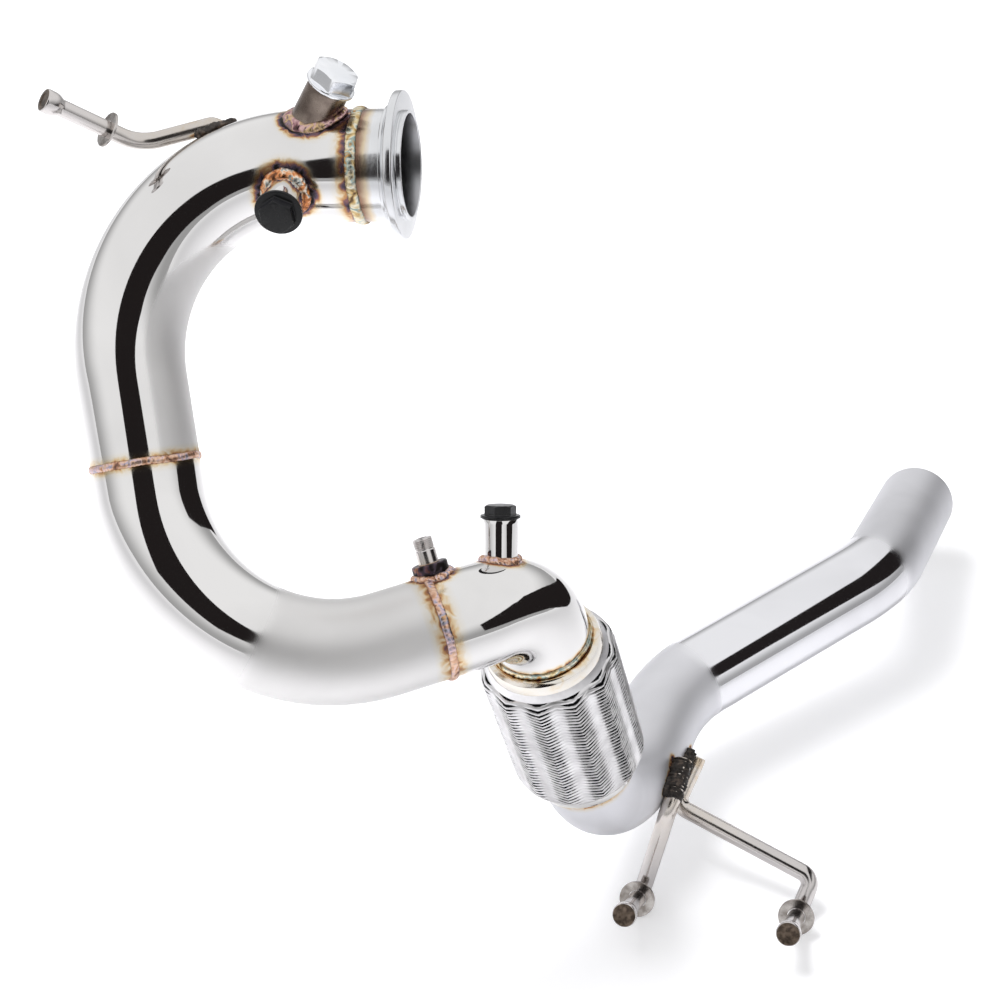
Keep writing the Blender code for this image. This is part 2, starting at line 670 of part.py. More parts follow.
def add_bellows():
    """The corrugated inner skin, with a plain cuff at each end."""
    start = COLLAR_LIP + GAP
    root = cuff_radius()
    pitch = (FLEX_LENGTH - 2 * BELLOWS_LEAD) / BELLOWS_COUNT
    profile = [(start, root)]
    for index in range(BELLOWS_COUNT):
        base = BELLOWS_LEAD + pitch * index
        profile += [(base, root), (base + 0.2 * pitch, BELLOWS_RADIUS), (base + 0.6 * pitch, BELLOWS_RADIUS),
                    (base + 0.8 * pitch, root)]
    profile.append((FLEX_LENGTH - start, root))
    bellows = turned_object("flex_bellows", profile[::-1], BELLOWS_SIDES, closed=False)
    wall = bellows.modifiers.new("Wall", "SOLIDIFY")
    wall.thickness = CUFF_WALL
    wall.offset = -1.0
    wall.use_even_offset = True
    place_at(bellows, FLEX_START)
    return finish_part(bellows, STEEL, 0.3)


def add_liner():
    """The smooth inner liner between the two tube ends."""
    low = TUBE_INSERT + GAP
    high = FLEX_LENGTH - TUBE_INSERT - GAP
    bore = TUBE_RADIUS - TUBE_WALL
    profile = [(high, TUBE_RADIUS), (low, TUBE_RADIUS), (low, bore), (high, bore)]
    liner = turned_object("flex_liner", profile, TUBE_SIDES)
    place_at(liner, FLEX_START)
    return finish_part(liner, STEEL, 0.3)


def braid_profile():
    """Outer and inner radius of the braid along the first shoulder, from its end under the collar."""
    end_inner = braid_end_radius()
    end_outer = end_inner + BRAID_END_WALL
    inner = clear_bore(BELLOWS_RADIUS, 2 * BRAID_CHEVRONS)
    valley = inner + BRAID_WALL - BRAID_RELIEF
    start = COLLAR_LIP + GAP
    mouth = COLLAR_LENGTH + GAP
    outer_rows = [(start, end_outer), (mouth, end_outer)]
    inner_rows = [(start, end_inner), (mouth + BRAID_END_WALL, end_inner)]
    for angle in (35, 62, 90):
        share = math.radians(angle)
        run = BRAID_SHOULDER * (1 - math.cos(share))
        outer_rows.append((mouth + run, end_outer + (valley - end_outer) * math.sin(share)))
        inner_rows.append((mouth + BRAID_END_WALL + run, end_inner + (inner - end_inner) * math.sin(share)))
    return outer_rows, inner_rows


def add_braid():
    """The woven braid as a closed sleeve: chevron ridges all over, and rounded shoulders."""
    outer_rows, inner_rows = braid_profile()
    count = 2 * BRAID_CHEVRONS
    start, valley = outer_rows[-1]
    pitch = (FLEX_LENGTH - 2 * start) / (2 * BRAID_RIDGES)
    point, heading, side = ROUTE.frame(FLEX_START)
    place = frame_matrix(point, heading, side)

    def row(height, radius, rise):
        ring = []
        for k in range(count):
            angle = math.tau * k / count
            shift = rise if k % 2 else -rise
            ring.append(place @ Vector((radius * math.cos(angle), radius * math.sin(angle), height + shift)))
        return ring

    rings = [row(height, radius, 0.0) for height, radius in outer_rows]
    for index in range(1, 2 * BRAID_RIDGES):
        fade = min(1.0, index / 4, (2 * BRAID_RIDGES - index) / 4)
        radius = valley + BRAID_RELIEF * (index % 2)
        rings.append(row(start + pitch * index, radius, CHEVRON_RISE * fade))
    rings += [row(FLEX_LENGTH - height, radius, 0.0) for height, radius in outer_rows[::-1]]
    rings += [row(FLEX_LENGTH - height, radius, 0.0) for height, radius in inner_rows]
    rings += [row(height, radius, 0.0) for height, radius in inner_rows[::-1]]
    return finish_part(loft_object("flex_braid", rings), BRUSHED, 0.35)


# Hangers

def rounded_path(points, fillets):
    """A line through points with an arc of the given radius at each inner corner."""
    path = [points[0]]
    for index in range(1, len(points) - 1):
        corner = points[index]
        into = (corner - points[index - 1]).normalized()
        out = (points[index + 1] - corner).normalized()
        turn = into.angle(out)
        radius = fillets[index - 1]
        reach = radius * math.tan(turn / 2)
        start = corner - into * reach
        axis = into.cross(out).normalized()
        centre = start + axis.cross(into) * radius
        steps = max(2, math.ceil(turn / ROD_BEND_STEP))
        for step in range(steps + 1):
            path.append(centre + Quaternion(axis, turn * step / steps) @ (start - centre))
    path.append(points[-1])
    return path


def headed_path(points):
    """Adds the flared head to a rod's end, and returns the path with its radius factors."""
    end = points[-1]
    back = (points[-2] - end).normalized()
    swell = HEAD_FLARE - 1.0
    head = ((HEAD_LENGTH, 1.0), (HEAD_LENGTH * 0.8, 1.0 + swell / 2), (HEAD_LENGTH / 2, HEAD_FLARE),
            (HEAD_CHAMFER, HEAD_FLARE), (0.0, HEAD_FLARE - swell / 3))
    path = points[:-1] + [end + back * distance for distance, _ in head]
    scales = [1.0] * (len(points) - 1) + [factor for _, factor in head]
    return path, scales


def add_rod(name, points, fillets, radius, sleeve):
    """A bent hanger rod, flared at its free end and cut to sit on the tube."""
    path, scales = headed_path(rounded_path(points, fillets))
    rod = bpy.data.objects.new(name, curve_mesh(name, path, radius, ROD_SIDES, True, scales))
    add_boolean(rod, sleeve)
    return finish_part(rod, BRUSHED, 0.25)


def add_washer(name, bend, direction, distance, rod_radius, radius):
    bore = clear_bore(rod_radius, WASHER_SIDES)
    low = distance - WASHER_THICKNESS / 2
    high = distance + WASHER_THICKNESS / 2
    washer = turned_object(name, [(high, radius), (low, radius), (low, bore), (high, bore)], WASHER_SIDES)
    washer.matrix_world = frame_matrix(bend, direction, Vector((0.0, 0.0, 1.0)))
    return finish_part(washer, BRUSHED, 0.3)


def seat_place(seat, offset):
    """A point given as (out from the surface, along the tube, across) at a hanger's seat."""
    station, clock = seat
    centre, heading, _ = ROUTE.frame(station)
    out = ROUTE.clock_direction(station, clock)
    height, along, across = offset
    return centre + out * (TUBE_RADIUS + height) + heading * along + heading.cross(out) * across


def seat_direction(seat, offset):
    station, clock = seat
    _, heading, _ = ROUTE.frame(station)
    out = ROUTE.clock_direction(station, clock)
    return (out * offset[0] + heading * offset[1] + heading.cross(out) * offset[2]).normalized()


def add_rod_cutter(name, points, fillets, radius):
    """A rod's shape with the clearance that its welds keep."""
    mesh = curve_mesh(name, rounded_path(points, fillets), clear_bore(radius, ROD_SIDES), ROD_SIDES, True)
    return finish_cutter(bpy.data.objects.new(name, mesh))


def add_rod_weld(name, points, radius, cutters, colour):
    """A bead laid on the tube beside a rod, and fitted to what the cutters stand for."""
    bead = bpy.data.objects.new(name, curve_mesh(name, points, radius, WELD_SIDES, True))
    for cutter in cutters:
        add_boolean(bead, cutter)
    return finish_part(bead, colour, 0.5)


def add_front_hanger():
    """One rod coped onto the upper bend, with its washer and the weld round its foot."""
    station = SPIGOT_END + FRONT_SEAT[0]
    seat = (station, FRONT_SEAT[1])
    sleeve = add_sleeve_cutter("front_seat_sleeve", station - FRONT_SEAT_REACH, station + FRONT_SEAT_REACH)
    bend = seat_place(seat, FRONT_BEND)
    direction = seat_direction(seat, FRONT_PEG_DIRECTION)
    points = [seat_place(seat, FRONT_FOOT), seat_place(seat, FRONT_KNEE), bend,
              bend + direction * FRONT_PEG_LENGTH]
    add_rod("front_hanger_rod", points, FRONT_FILLETS, FRONT_ROD_RADIUS, sleeve)
    add_washer("front_hanger_washer", bend, direction, FRONT_WASHER_FROM_BEND, FRONT_ROD_RADIUS,
               FRONT_WASHER_RADIUS)
    cutter = add_rod_cutter("front_rod_cutter", points, FRONT_FILLETS, FRONT_ROD_RADIUS)
    across = FRONT_ROD_RADIUS + FRONT_WELD_RADIUS / 2
    rise = FRONT_WELD_RADIUS / 3
    line = ((FRONT_WELD_LENGTH, -across), (0.0, -across), (-FRONT_WELD_END, 0.0), (0.0, across),
            (FRONT_WELD_LENGTH, across))
    weld = [seat_place(seat, (rise, along, side)) for along, side in line]
    add_rod_weld("front_hanger_weld", weld, FRONT_WELD_RADIUS, (sleeve, cutter), SOOT)


def add_rear_hanger():
    """Two rods side by side on the outlet bend, with their washers and welds."""
    station = FLEX_END + REAR_SEAT[0]
    seat = (station, REAR_SEAT[1])
    sleeve = add_sleeve_cutter("rear_seat_sleeve", station - REAR_SEAT_REACH, station + REAR_SEAT_REACH)
    direction = seat_direction(seat, REAR_PEG_DIRECTION)
    bend_a = seat_place(seat, REAR_A_BEND)
    bend_b = seat_place(seat, REAR_B_BEND)
    top_a, touch_a, top_b = [ROUTE.on_tube(FLEX_END + run, clock, REAR_LIFT)
                             for run, clock in (REAR_A_TOP, REAR_A_TOUCH, REAR_B_TOP)]
    points_a = [top_a, touch_a, bend_a, bend_a + direction * REAR_PEG_LENGTH]
    points_b = [top_b, seat_place(seat, REAR_B_TURN), seat_place(seat, REAR_B_CORNER), bend_b,
                bend_b + direction * REAR_PEG_LENGTH]
    cutters = [sleeve]
    for letter, points, fillets in (("a", points_a, REAR_A_FILLETS), ("b", points_b, REAR_B_FILLETS)):
        add_rod("rear_hanger_rod_" + letter, points, fillets, REAR_ROD_RADIUS, sleeve)
        cutters.append(add_rod_cutter("rear_rod_cutter_" + letter, points, fillets, REAR_ROD_RADIUS))
    for letter, bend in (("a", bend_a), ("b", bend_b)):
        add_washer("rear_hanger_washer_" + letter, bend, direction, REAR_WASHER_FROM_BEND, REAR_ROD_RADIUS,
                   REAR_WASHER_RADIUS)
    for letter, places in (("a", REAR_WELD_A), ("b", REAR_WELD_B)):
        weld = [ROUTE.on_tube(FLEX_END + run, clock, REAR_WELD_RADIUS / 3) for run, clock in places]
        add_rod_weld("rear_hanger_weld_" + letter, weld, REAR_WELD_RADIUS, cutters, SOOT)


def build():
    add_inlet_flange()
    add_ring_bead("inlet_weld", SPIGOT_END, INLET_BEAD_WIDTH)
    upper = add_tube("upper_bend", SPIGOT_END + GAP / 2, MID_JOINT - GAP / 2)
    add_ring_bead("mid_weld", MID_JOINT, MID_BEAD_WIDTH)
    add_tube("lower_bend", MID_JOINT + GAP / 2, ELBOW_JOINT - GAP / 2)
    elbow = add_tube("elbow", ELBOW_JOINT + GAP / 2, FLEX_START + TUBE_INSERT)
    nipple = add_nipple(elbow)
    add_ring_bead("elbow_weld", ELBOW_JOINT, ELBOW_BEAD_WIDTH,
                  (nipple, NIPPLE_BOSS_RADIUS + FOOT_BEAD_WIDTH + GAP))
    bead_offset = GAP + FLEX_BEAD_WIDTH / 2 + 2 * BEAD_RIPPLE
    add_ring_bead("flex_inlet_weld", FLEX_START - bead_offset, FLEX_BEAD_WIDTH)
    add_collar("flex_inlet_collar", FLEX_START, reverse=False)
    add_bellows()
    add_liner()
    add_braid()
    add_collar("flex_outlet_collar", FLEX_END, reverse=True)
    add_ring_bead("flex_outlet_weld", FLEX_END + bead_offset, FLEX_BEAD_WIDTH)
    add_tube("outlet_pipe", FLEX_END - TUBE_INSERT, ROUTE.length)

    front = add_bung("front_sensor_bung", upper, SPIGOT_END, FRONT_BUNG)
    add_plug("front_sensor_plug", front, FRONT_BUNG, FRONT_PLUG, CHROME, 0.08, 1.0)
    side = add_bung("side_sensor_bung", upper, SPIGOT_END, SIDE_BUNG)
    add_plug("side_sensor_plug", side, SIDE_BUNG, SIDE_PLUG, BLACK_PLUG, 0.35, 0.6)
    rear = add_bung("rear_sensor_bung", elbow, ELBOW_JOINT, REAR_BUNG)
    add_plug("rear_sensor_plug", rear, REAR_BUNG, REAR_PLUG, BLACK_PLUG, 0.35, 0.6)
    add_front_hanger()
    add_rear_hanger()


clear_scene()
PARTS = new_collection("exhaust_bypass_pipe")
CUTTERS = new_collection("cutters")
ROUTE = walk_route()
MID_JOINT = SPIGOT_END + UPPER_LEAD + arc_length(UPPER_BEND) + UPPER_TAIL
ELBOW_JOINT = MID_JOINT + LOWER_LEAD + arc_length(LOWER_BEND) + LOWER_TAIL
FLEX_START = (ELBOW_JOINT + ELBOW_LEAD + arc_length(ELBOW_FIRST_BEND) + ELBOW_MIDDLE
              + arc_length(ELBOW_SECOND_BEND) + ELBOW_TAIL)
FLEX_END = FLEX_START + FLEX_LENGTH
build()
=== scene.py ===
"""Looks of the exhaust bypass pipe: polished tube, heat-tinted welds, woven braid and a pale studio."""
import math

import bmesh
import bpy
import numpy as np
from mathutils import Matrix, Quaternion, Vector, noise
from mathutils.bvhtree import BVHTree


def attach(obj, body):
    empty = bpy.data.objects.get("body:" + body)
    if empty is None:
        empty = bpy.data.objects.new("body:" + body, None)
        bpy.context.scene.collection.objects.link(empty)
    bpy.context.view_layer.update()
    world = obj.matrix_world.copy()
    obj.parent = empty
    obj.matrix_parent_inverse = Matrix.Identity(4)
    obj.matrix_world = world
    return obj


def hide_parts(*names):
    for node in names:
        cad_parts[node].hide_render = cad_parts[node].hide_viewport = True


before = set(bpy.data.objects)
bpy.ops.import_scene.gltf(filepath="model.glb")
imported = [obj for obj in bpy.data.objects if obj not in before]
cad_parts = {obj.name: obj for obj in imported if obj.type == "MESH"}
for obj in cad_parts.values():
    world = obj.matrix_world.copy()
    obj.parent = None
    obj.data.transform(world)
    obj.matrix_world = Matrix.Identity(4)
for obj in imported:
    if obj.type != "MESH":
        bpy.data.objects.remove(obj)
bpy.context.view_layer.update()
MM = 0.001
TUBE_RADIUS = 31.75 * MM
TUBE_WALL = 1.6 * MM
TUBE_BORE = TUBE_RADIUS - TUBE_WALL
GAP = 0.3 * MM
X_AXIS, Y_AXIS, Z_AXIS = Vector((1.0, 0.0, 0.0)), Vector((0.0, 1.0, 0.0)), Vector((0.0, 0.0, 1.0))

# Route, as in the part: lengths, and bends as radius, angle and roll
SPIGOT_END = 28.3 * MM
UPPER_LEAD = 32.7 * MM
UPPER_BEND = (105.6 * MM, 99.38, 34.07)
UPPER_TAIL = 48.6 * MM
LOWER_LEAD = 20.4 * MM
LOWER_BEND = (108.7 * MM, 97.53, -20.51)
LOWER_TAIL = 33.1 * MM
ELBOW_LEAD = 2.0 * MM
ELBOW_FIRST_BEND = (79.9 * MM, 22.32, -96.36)
ELBOW_MIDDLE = 2.5 * MM
ELBOW_SECOND_BEND = (45.0 * MM, 65.04, -47.13)
ELBOW_TAIL = 11.0 * MM
FLEX_LENGTH = 136.1 * MM
OUTLET_LEAD = 4.0 * MM
OUTLET_FIRST_BEND = (86.7 * MM, 93.85, 149.55)
OUTLET_BETWEEN = 4.9 * MM
OUTLET_SECOND_BEND = (101.6 * MM, 34.0, 115.99)
OUTLET_MIDDLE = 148.8 * MM
OUTLET_THIRD_BEND = (102.1 * MM, 37.79, 123.82)
OUTLET_TAIL = 132.3 * MM


def arc(bend):
    return bend[0] * math.radians(bend[1])


def turns(count):
    """The angles of one whole turn in equal steps."""
    return [math.tau * k / count for k in range(count)]


def spoke(first, second, angle):
    return first * math.cos(angle) + second * math.sin(angle)


class Route:
    """The tube's centreline, walked from the flange as straights and bends."""

    def __init__(self, legs):
        self.point = Vector((0.0, 0.0, 0.0))
        self.heading = -X_AXIS
        self.side = -Z_AXIS
        self.length = 0.0
        self.legs = []
        for leg in legs:
            if isinstance(leg, tuple):
                self.bend(*leg)
            else:
                self.straight(leg)

    def straight(self, length):
        self.legs.append((self.length, self.point, self.heading, self.side, None))
        self.point = self.point + self.heading * length
        self.length += length

    def bend(self, radius, angle, roll):
        self.side = Quaternion(self.heading, math.radians(roll)) @ self.side
        self.legs.append((self.length, self.point, self.heading, self.side, radius))
        run = radius * math.radians(angle)
        self.point, self.heading, self.side = self.on_leg(self.legs[-1], run)
        self.length += run

    @staticmethod
    def on_leg(leg, run):
        _, point, heading, side, radius = leg
        if radius is None:
            return point + heading * run, heading, side
        turn = Quaternion(heading.cross(side), run / radius)
        turned = turn @ side
        return point + side * radius - turned * radius, turn @ heading, turned

    def frame(self, station):
        leg = self.legs[0]
        for candidate in self.legs:
            if candidate[0] <= station:
                leg = candidate
        return self.on_leg(leg, station - leg[0])

    def clock(self, station, clock):
        _, heading, side = self.frame(station)
        return spoke(side, heading.cross(side), math.radians(clock))

    def on_tube(self, station, clock, height):
        return self.frame(station)[0] + self.clock(station, clock) * (TUBE_RADIUS + height)


ROUTE = Route((
    SPIGOT_END + UPPER_LEAD, UPPER_BEND, UPPER_TAIL + LOWER_LEAD, LOWER_BEND, LOWER_TAIL + ELBOW_LEAD,
    ELBOW_FIRST_BEND, ELBOW_MIDDLE, ELBOW_SECOND_BEND, ELBOW_TAIL + FLEX_LENGTH + OUTLET_LEAD,
    OUTLET_FIRST_BEND, OUTLET_BETWEEN, OUTLET_SECOND_BEND, OUTLET_MIDDLE, OUTLET_THIRD_BEND, OUTLET_TAIL))
MID_JOINT = SPIGOT_END + UPPER_LEAD + arc(UPPER_BEND) + UPPER_TAIL
ELBOW_JOINT = MID_JOINT + LOWER_LEAD + arc(LOWER_BEND) + LOWER_TAIL
FLEX_START = (ELBOW_JOINT + ELBOW_LEAD + arc(ELBOW_FIRST_BEND) + ELBOW_MIDDLE + arc(ELBOW_SECOND_BEND)
              + ELBOW_TAIL)
FLEX_END = FLEX_START + FLEX_LENGTH


# Node trees

class Nodes:
    """Short calls for building the node tree of a material or the world."""

    def __init__(self, owner):
        owner.use_nodes = True
        self.tree = owner.node_tree

    def node(self, kind, **values):
        node = self.tree.nodes.new(kind)
        for key, value in values.items():
            setattr(node, key, value)
        return node

    def link(self, source, target):
        self.tree.links.new(source, target)

    def feed(self, slot, value):
        """Puts a number or a colour in an input, or links an output to it."""
        if isinstance(value, (int, float)):
            slot.default_value = value
        elif isinstance(value, tuple):
            slot.default_value = (*value, 1.0)
        else:
            self.link(value, slot)

    def math(self, operation, first, second=0.0, clamp=False):
        node = self.node("ShaderNodeMath", operation=operation, use_clamp=clamp)
        self.feed(node.inputs[0], first)
        self.feed(node.inputs[1], second)
        return node.outputs[0]

    def spread(self, value, low, high):
        """A factor's range of 0 to 1, moved to low to high."""
        return self.math("ADD", self.math("MULTIPLY", value, high - low), low)

    def mix(self, factor, first, second, blend="MIX"):
        """Two colours, mixed."""
        node = self.node("ShaderNodeMix", data_type="RGBA", blend_type=blend)
        for place, value in ((0, factor), (6, first), (7, second)):
            self.feed(node.inputs[place], value)
        return node.outputs[2]

    def mix_numbers(self, factor, first, second):
        node = self.node("ShaderNodeMix")
        for place, value in ((0, factor), (2, first), (3, second)):
            self.feed(node.inputs[place], value)
        return node.outputs[0]


class Finish(Nodes):
    """A new material, with plain values in its Principled shader."""

    def __init__(self, name, metallic, roughness, colour=(0.8, 0.8, 0.8)):
        self.material = bpy.data.materials.new(name)
        super().__init__(self.material)
        self.shader = self.tree.nodes["Principled BSDF"]
        self.set("Metallic", metallic)
        self.set("Roughness", roughness)
        self.set("Base Color", colour)

    def set(self, name, value):
        self.feed(self.shader.inputs[name], value)

    def attribute(self, name):
        return self.node("ShaderNodeAttribute", attribute_name=name).outputs["Fac"]

    def position(self):
        return self.node("ShaderNodeNewGeometry").outputs["Position"]

    def noise(self, scale, detail=3.0, distortion=0.0):
        """A cloud of values, its scale counted per metre."""
        node = self.node("ShaderNodeTexNoise")
        for name, value in (("Scale", scale), ("Detail", detail), ("Distortion", distortion),
                            ("Vector", self.position())):
            self.feed(node.inputs[name], value)
        return node.outputs["Fac"]

    def ramp(self, factor, stops, smooth=True):
        node = self.node("ShaderNodeValToRGB")
        node.color_ramp.interpolation = "EASE" if smooth else "LINEAR"
        elements = node.color_ramp.elements
        while len(elements) < len(stops):
            elements.new(0.5)
        for element, (place, colour) in zip(elements, stops):
            element.position = place
            element.color = (*colour, 1.0)
        self.link(factor, node.inputs["Fac"])
        return node.outputs["Color"]

    def bump(self, height, strength, distance):
        node = self.node("ShaderNodeBump")
        for name, value in (("Strength", strength), ("Distance", distance), ("Height", height)):
            self.feed(node.inputs[name], value)
        self.set("Normal", node.outputs["Normal"])

    def uneven_gloss(self, scale, detail, low, high):
        self.set("Roughness", self.spread(self.noise(scale, detail), low, high))


# Colours along a ramp: heat tints on tube and flange, the patches of each weld, and soot
TUBE_HEAT = ((0.0, (1.0, 1.0, 1.0)), (0.20, (1.0, 0.96, 0.88)), (0.38, (0.93, 0.74, 0.48)),
             (0.52, (0.66, 0.36, 0.16)), (0.64, (0.34, 0.17, 0.16)), (0.76, (0.16, 0.12, 0.17)),
             (0.88, (0.07, 0.06, 0.07)), (1.0, (0.03, 0.025, 0.025)))
FLANGE_HEAT = ((0.1, (1.0, 1.0, 1.0)), (0.35, (0.90, 0.74, 0.52)), (0.6, (0.42, 0.25, 0.17)),
               (0.95, (0.06, 0.05, 0.05)))
GOLD = ((0.30, (0.16, 0.10, 0.06)), (0.38, (0.62, 0.42, 0.18)), (0.46, (0.78, 0.66, 0.40)),
        (0.54, (0.86, 0.80, 0.66)), (0.62, (0.36, 0.50, 0.47)), (0.70, (0.62, 0.36, 0.14)))
COPPER = ((0.30, (0.22, 0.12, 0.09)), (0.40, (0.62, 0.34, 0.22)), (0.50, (0.80, 0.56, 0.42)),
          (0.58, (0.70, 0.52, 0.56)), (0.66, (0.40, 0.42, 0.52)), (0.74, (0.66, 0.40, 0.22)))
EMBER = ((0.30, (0.20, 0.09, 0.05)), (0.40, (0.66, 0.24, 0.09)), (0.50, (0.80, 0.42, 0.22)),
         (0.58, (0.90, 0.80, 0.68)), (0.66, (0.36, 0.46, 0.48)), (0.74, (0.66, 0.28, 0.10)))
ROSE = ((0.30, (0.12, 0.07, 0.07)), (0.40, (0.38, 0.20, 0.22)), (0.48, (0.66, 0.44, 0.44)),
        (0.56, (0.62, 0.44, 0.22)), (0.64, (0.24, 0.16, 0.20)), (0.74, (0.70, 0.52, 0.50)))
SOOT = ((0.30, (0.012, 0.011, 0.010)), (0.52, (0.035, 0.03, 0.027)), (0.70, (0.11, 0.085, 0.07)),
        (0.8, (0.20, 0.17, 0.16)))
BLACK_TO_WHITE = ((0.0, (0.0, 0.0, 0.0)), (1.0, (1.0, 1.0, 1.0)))
STEEL = (0.80, 0.79, 0.785)
CREASE = (0.035, 0.026, 0.022)
SATIN_ROUGHNESS = 0.52
TINT_ROUGHNESS = 0.30


def tinted_steel(name, colour, roughness, waviness=0.0):
    """Polished steel: bands of heat colour where the tint attribute rises, soft where satin does, and soft
    patches of painted reflection.
    """
    net = Finish(name, 1.0, roughness)
    tint = net.attribute("tint")
    wander = net.spread(net.noise(130.0, 4.0, 1.0), -0.75, 0.75)
    wander = net.math("MULTIPLY", wander, net.math("MULTIPLY", tint, 1.5))
    moved = net.math("ADD", tint, wander, clamp=True)
    # Soft random patches, darker and lighter, in the steel's colour: random tone that also stands in, as
    # painted reflection, for the soft grey bands the polished steel mirrors
    cloud = net.ramp(net.spread(net.noise(11.0, 3.0, 0.5), 0.80, 1.12), BLACK_TO_WHITE, False)
    steel = net.mix(1.0, colour, cloud, "MULTIPLY")
    net.set("Base Color", net.mix(1.0, steel, net.ramp(moved, TUBE_HEAT, False), "MULTIPLY"))
    polish = net.spread(net.noise(30.0), roughness * 0.7, roughness * 1.3)
    burnt_gloss = net.math("ADD", net.math("MULTIPLY", moved, TINT_ROUGHNESS), polish)
    brushed = net.math("MULTIPLY", net.attribute("satin"), SATIN_ROUGHNESS)
    net.set("Roughness", net.math("ADD", burnt_gloss, brushed, clamp=True))
    if waviness:
        net.bump(net.noise(26.0, 1.0), waviness, 1.0 * MM)
    return net.material


def weld_metal(name, stops, scale):
    """A rippled bead: patches of heat colour, and dark creases where the dip attribute rises."""
    roughness, crease_darkness = 0.3, 0.62
    net = Finish(name, 1.0, roughness)
    patches = net.ramp(net.noise(scale, 2.0, 0.8), stops, False)
    # Darker towards the ripples' troughs and the bead's edges, where the dip attribute rises
    dark = net.math("MULTIPLY", net.math("POWER", net.attribute("dip"), 1.6), crease_darkness, clamp=True)
    net.set("Base Color", net.mix(dark, patches, CREASE))
    net.uneven_gloss(500.0, 2.0, roughness * 0.7, roughness * 1.5)
    net.bump(net.noise(900.0), 0.35, 0.4 * MM)
    return net.material


def soot_metal():
    net = Finish("sooted_steel", 0.6, 0.5)
    net.set("Base Color", net.ramp(net.noise(260.0, 4.0, 0.4), SOOT))
    net.uneven_gloss(400.0, 3.0, 0.3, 0.75)
    net.bump(net.noise(420.0, 4.0), 0.7, 0.8 * MM)
    return net.material


def braid_metal():
    """Flat bright wires in strips, counted by the strand attribute.

    The slits between strips are painted near-black as shade, with a grey painted shade along their edges;
    they are lens-shaped and widest at the chevrons' points, where dip is 1.
    """
    net = Finish("woven_wire", 1.0, 0.3)
    strand, openness, tint = net.attribute("strand"), net.attribute("dip"), net.attribute("tint")
    off = net.math("ABSOLUTE", net.math("SUBTRACT", net.math("FRACT", strand), 0.5))
    ragged = net.spread(net.noise(240.0, 4.0), 0.05, 1.75)
    half = net.math("MULTIPLY", net.math("MULTIPLY", openness, 0.34), ragged)
    # Painted shade: the slits are coloured near-black, as the gaps between strips would lie in shade
    slit = net.math("MULTIPLY", net.math("SUBTRACT", half, off), 11.0, clamp=True)
    # Painted shade: a grey band along each slit's edges
    slit_edge_shade = net.math("MULTIPLY", net.math("SUBTRACT", 0.10, off), 3.0, clamp=True)
    slit_edge_shade = net.math("MULTIPLY", slit_edge_shade, net.math("ADD", openness, 0.15, clamp=True), clamp=True)
    wires = net.math("PINGPONG", net.math("MULTIPLY", strand, 5.0), 0.5)
    base = net.ramp(net.noise(70.0), ((0.3, (0.66, 0.65, 0.66)), (0.7, (0.86, 0.85, 0.86))))
    lined = net.mix(net.math("MULTIPLY", wires, 0.35), base, (0.42, 0.41, 0.41))
    shaded = net.mix(slit_edge_shade, lined, (0.34, 0.33, 0.34))
    brown = net.mix(tint, shaded, (0.17, 0.11, 0.07))
    net.set("Base Color", net.mix(slit, brown, (0.006, 0.006, 0.007)))
    net.uneven_gloss(220.0, 2.0, 0.24, 0.42)
    waves = net.math("COSINE", net.math("MULTIPLY", strand, math.tau))
    net.bump(net.math("MULTIPLY", waves, openness), 0.4, 0.5 * MM)
    return net.material


def flange_metal():
    """Turned steel: fine rings along the flange's axis, and heat colour where tint rises."""
    colour, roughness = (0.80, 0.81, 0.83), 0.16
    net = Finish("turned_flange_tinted", 1.0, roughness, colour)
    along = net.node("ShaderNodeVectorMath", operation="DOT_PRODUCT")
    along.inputs[1].default_value = X_AXIS
    net.link(net.position(), along.inputs[0])
    rings = net.math("SINE", net.math("MULTIPLY", along.outputs["Value"], 9000.0))
    net.bump(net.math("ADD", net.math("MULTIPLY", rings, 0.3), net.noise(700.0, 2.0)), 0.08, 0.2 * MM)
    tone = net.ramp(net.noise(40.0), ((0.3, tuple(c * 0.88 for c in colour)), (0.7, colour)))
    wander = net.spread(net.noise(170.0, 4.0), -0.12, 0.12)
    tint = net.math("ADD", net.attribute("tint"), wander, clamp=True)
    net.set("Base Color", net.mix(1.0, tone, net.ramp(tint, FLANGE_HEAT, False), "MULTIPLY"))
    net.uneven_gloss(120.0, 2.0, roughness * 0.8, roughness * 1.25)
    return net.material


def plain_finish(name, metallic, roughness, dark, light, scale=60.0, bump=0.1):
    net = Finish(name, metallic, roughness)
    net.set("Base Color", net.ramp(net.noise(scale), ((0.3, dark), (0.7, light))))
    net.uneven_gloss(scale * 3.0, 2.0, roughness * 0.8, roughness * 1.25)
    net.bump(net.noise(scale * 8.0, 2.0), bump, 0.2 * MM)
    return net.material


polished = tinted_steel("polished_steel", STEEL, 0.045, 0.05)
satin = tinted_steel("satin_rod_steel", (0.66, 0.63, 0.62), 0.17)
outlet_steel = tinted_steel("cool_polished_steel", (0.81, 0.81, 0.84), 0.075, 0.05)
washer_steel = plain_finish("washer_steel", 1.0, 0.14, (0.26, 0.23, 0.21), (0.60, 0.57, 0.55), 130.0)
burnt = plain_finish("burnt_steel", 1.0, 0.26, (0.13, 0.10, 0.085), (0.33, 0.27, 0.23), 70.0)
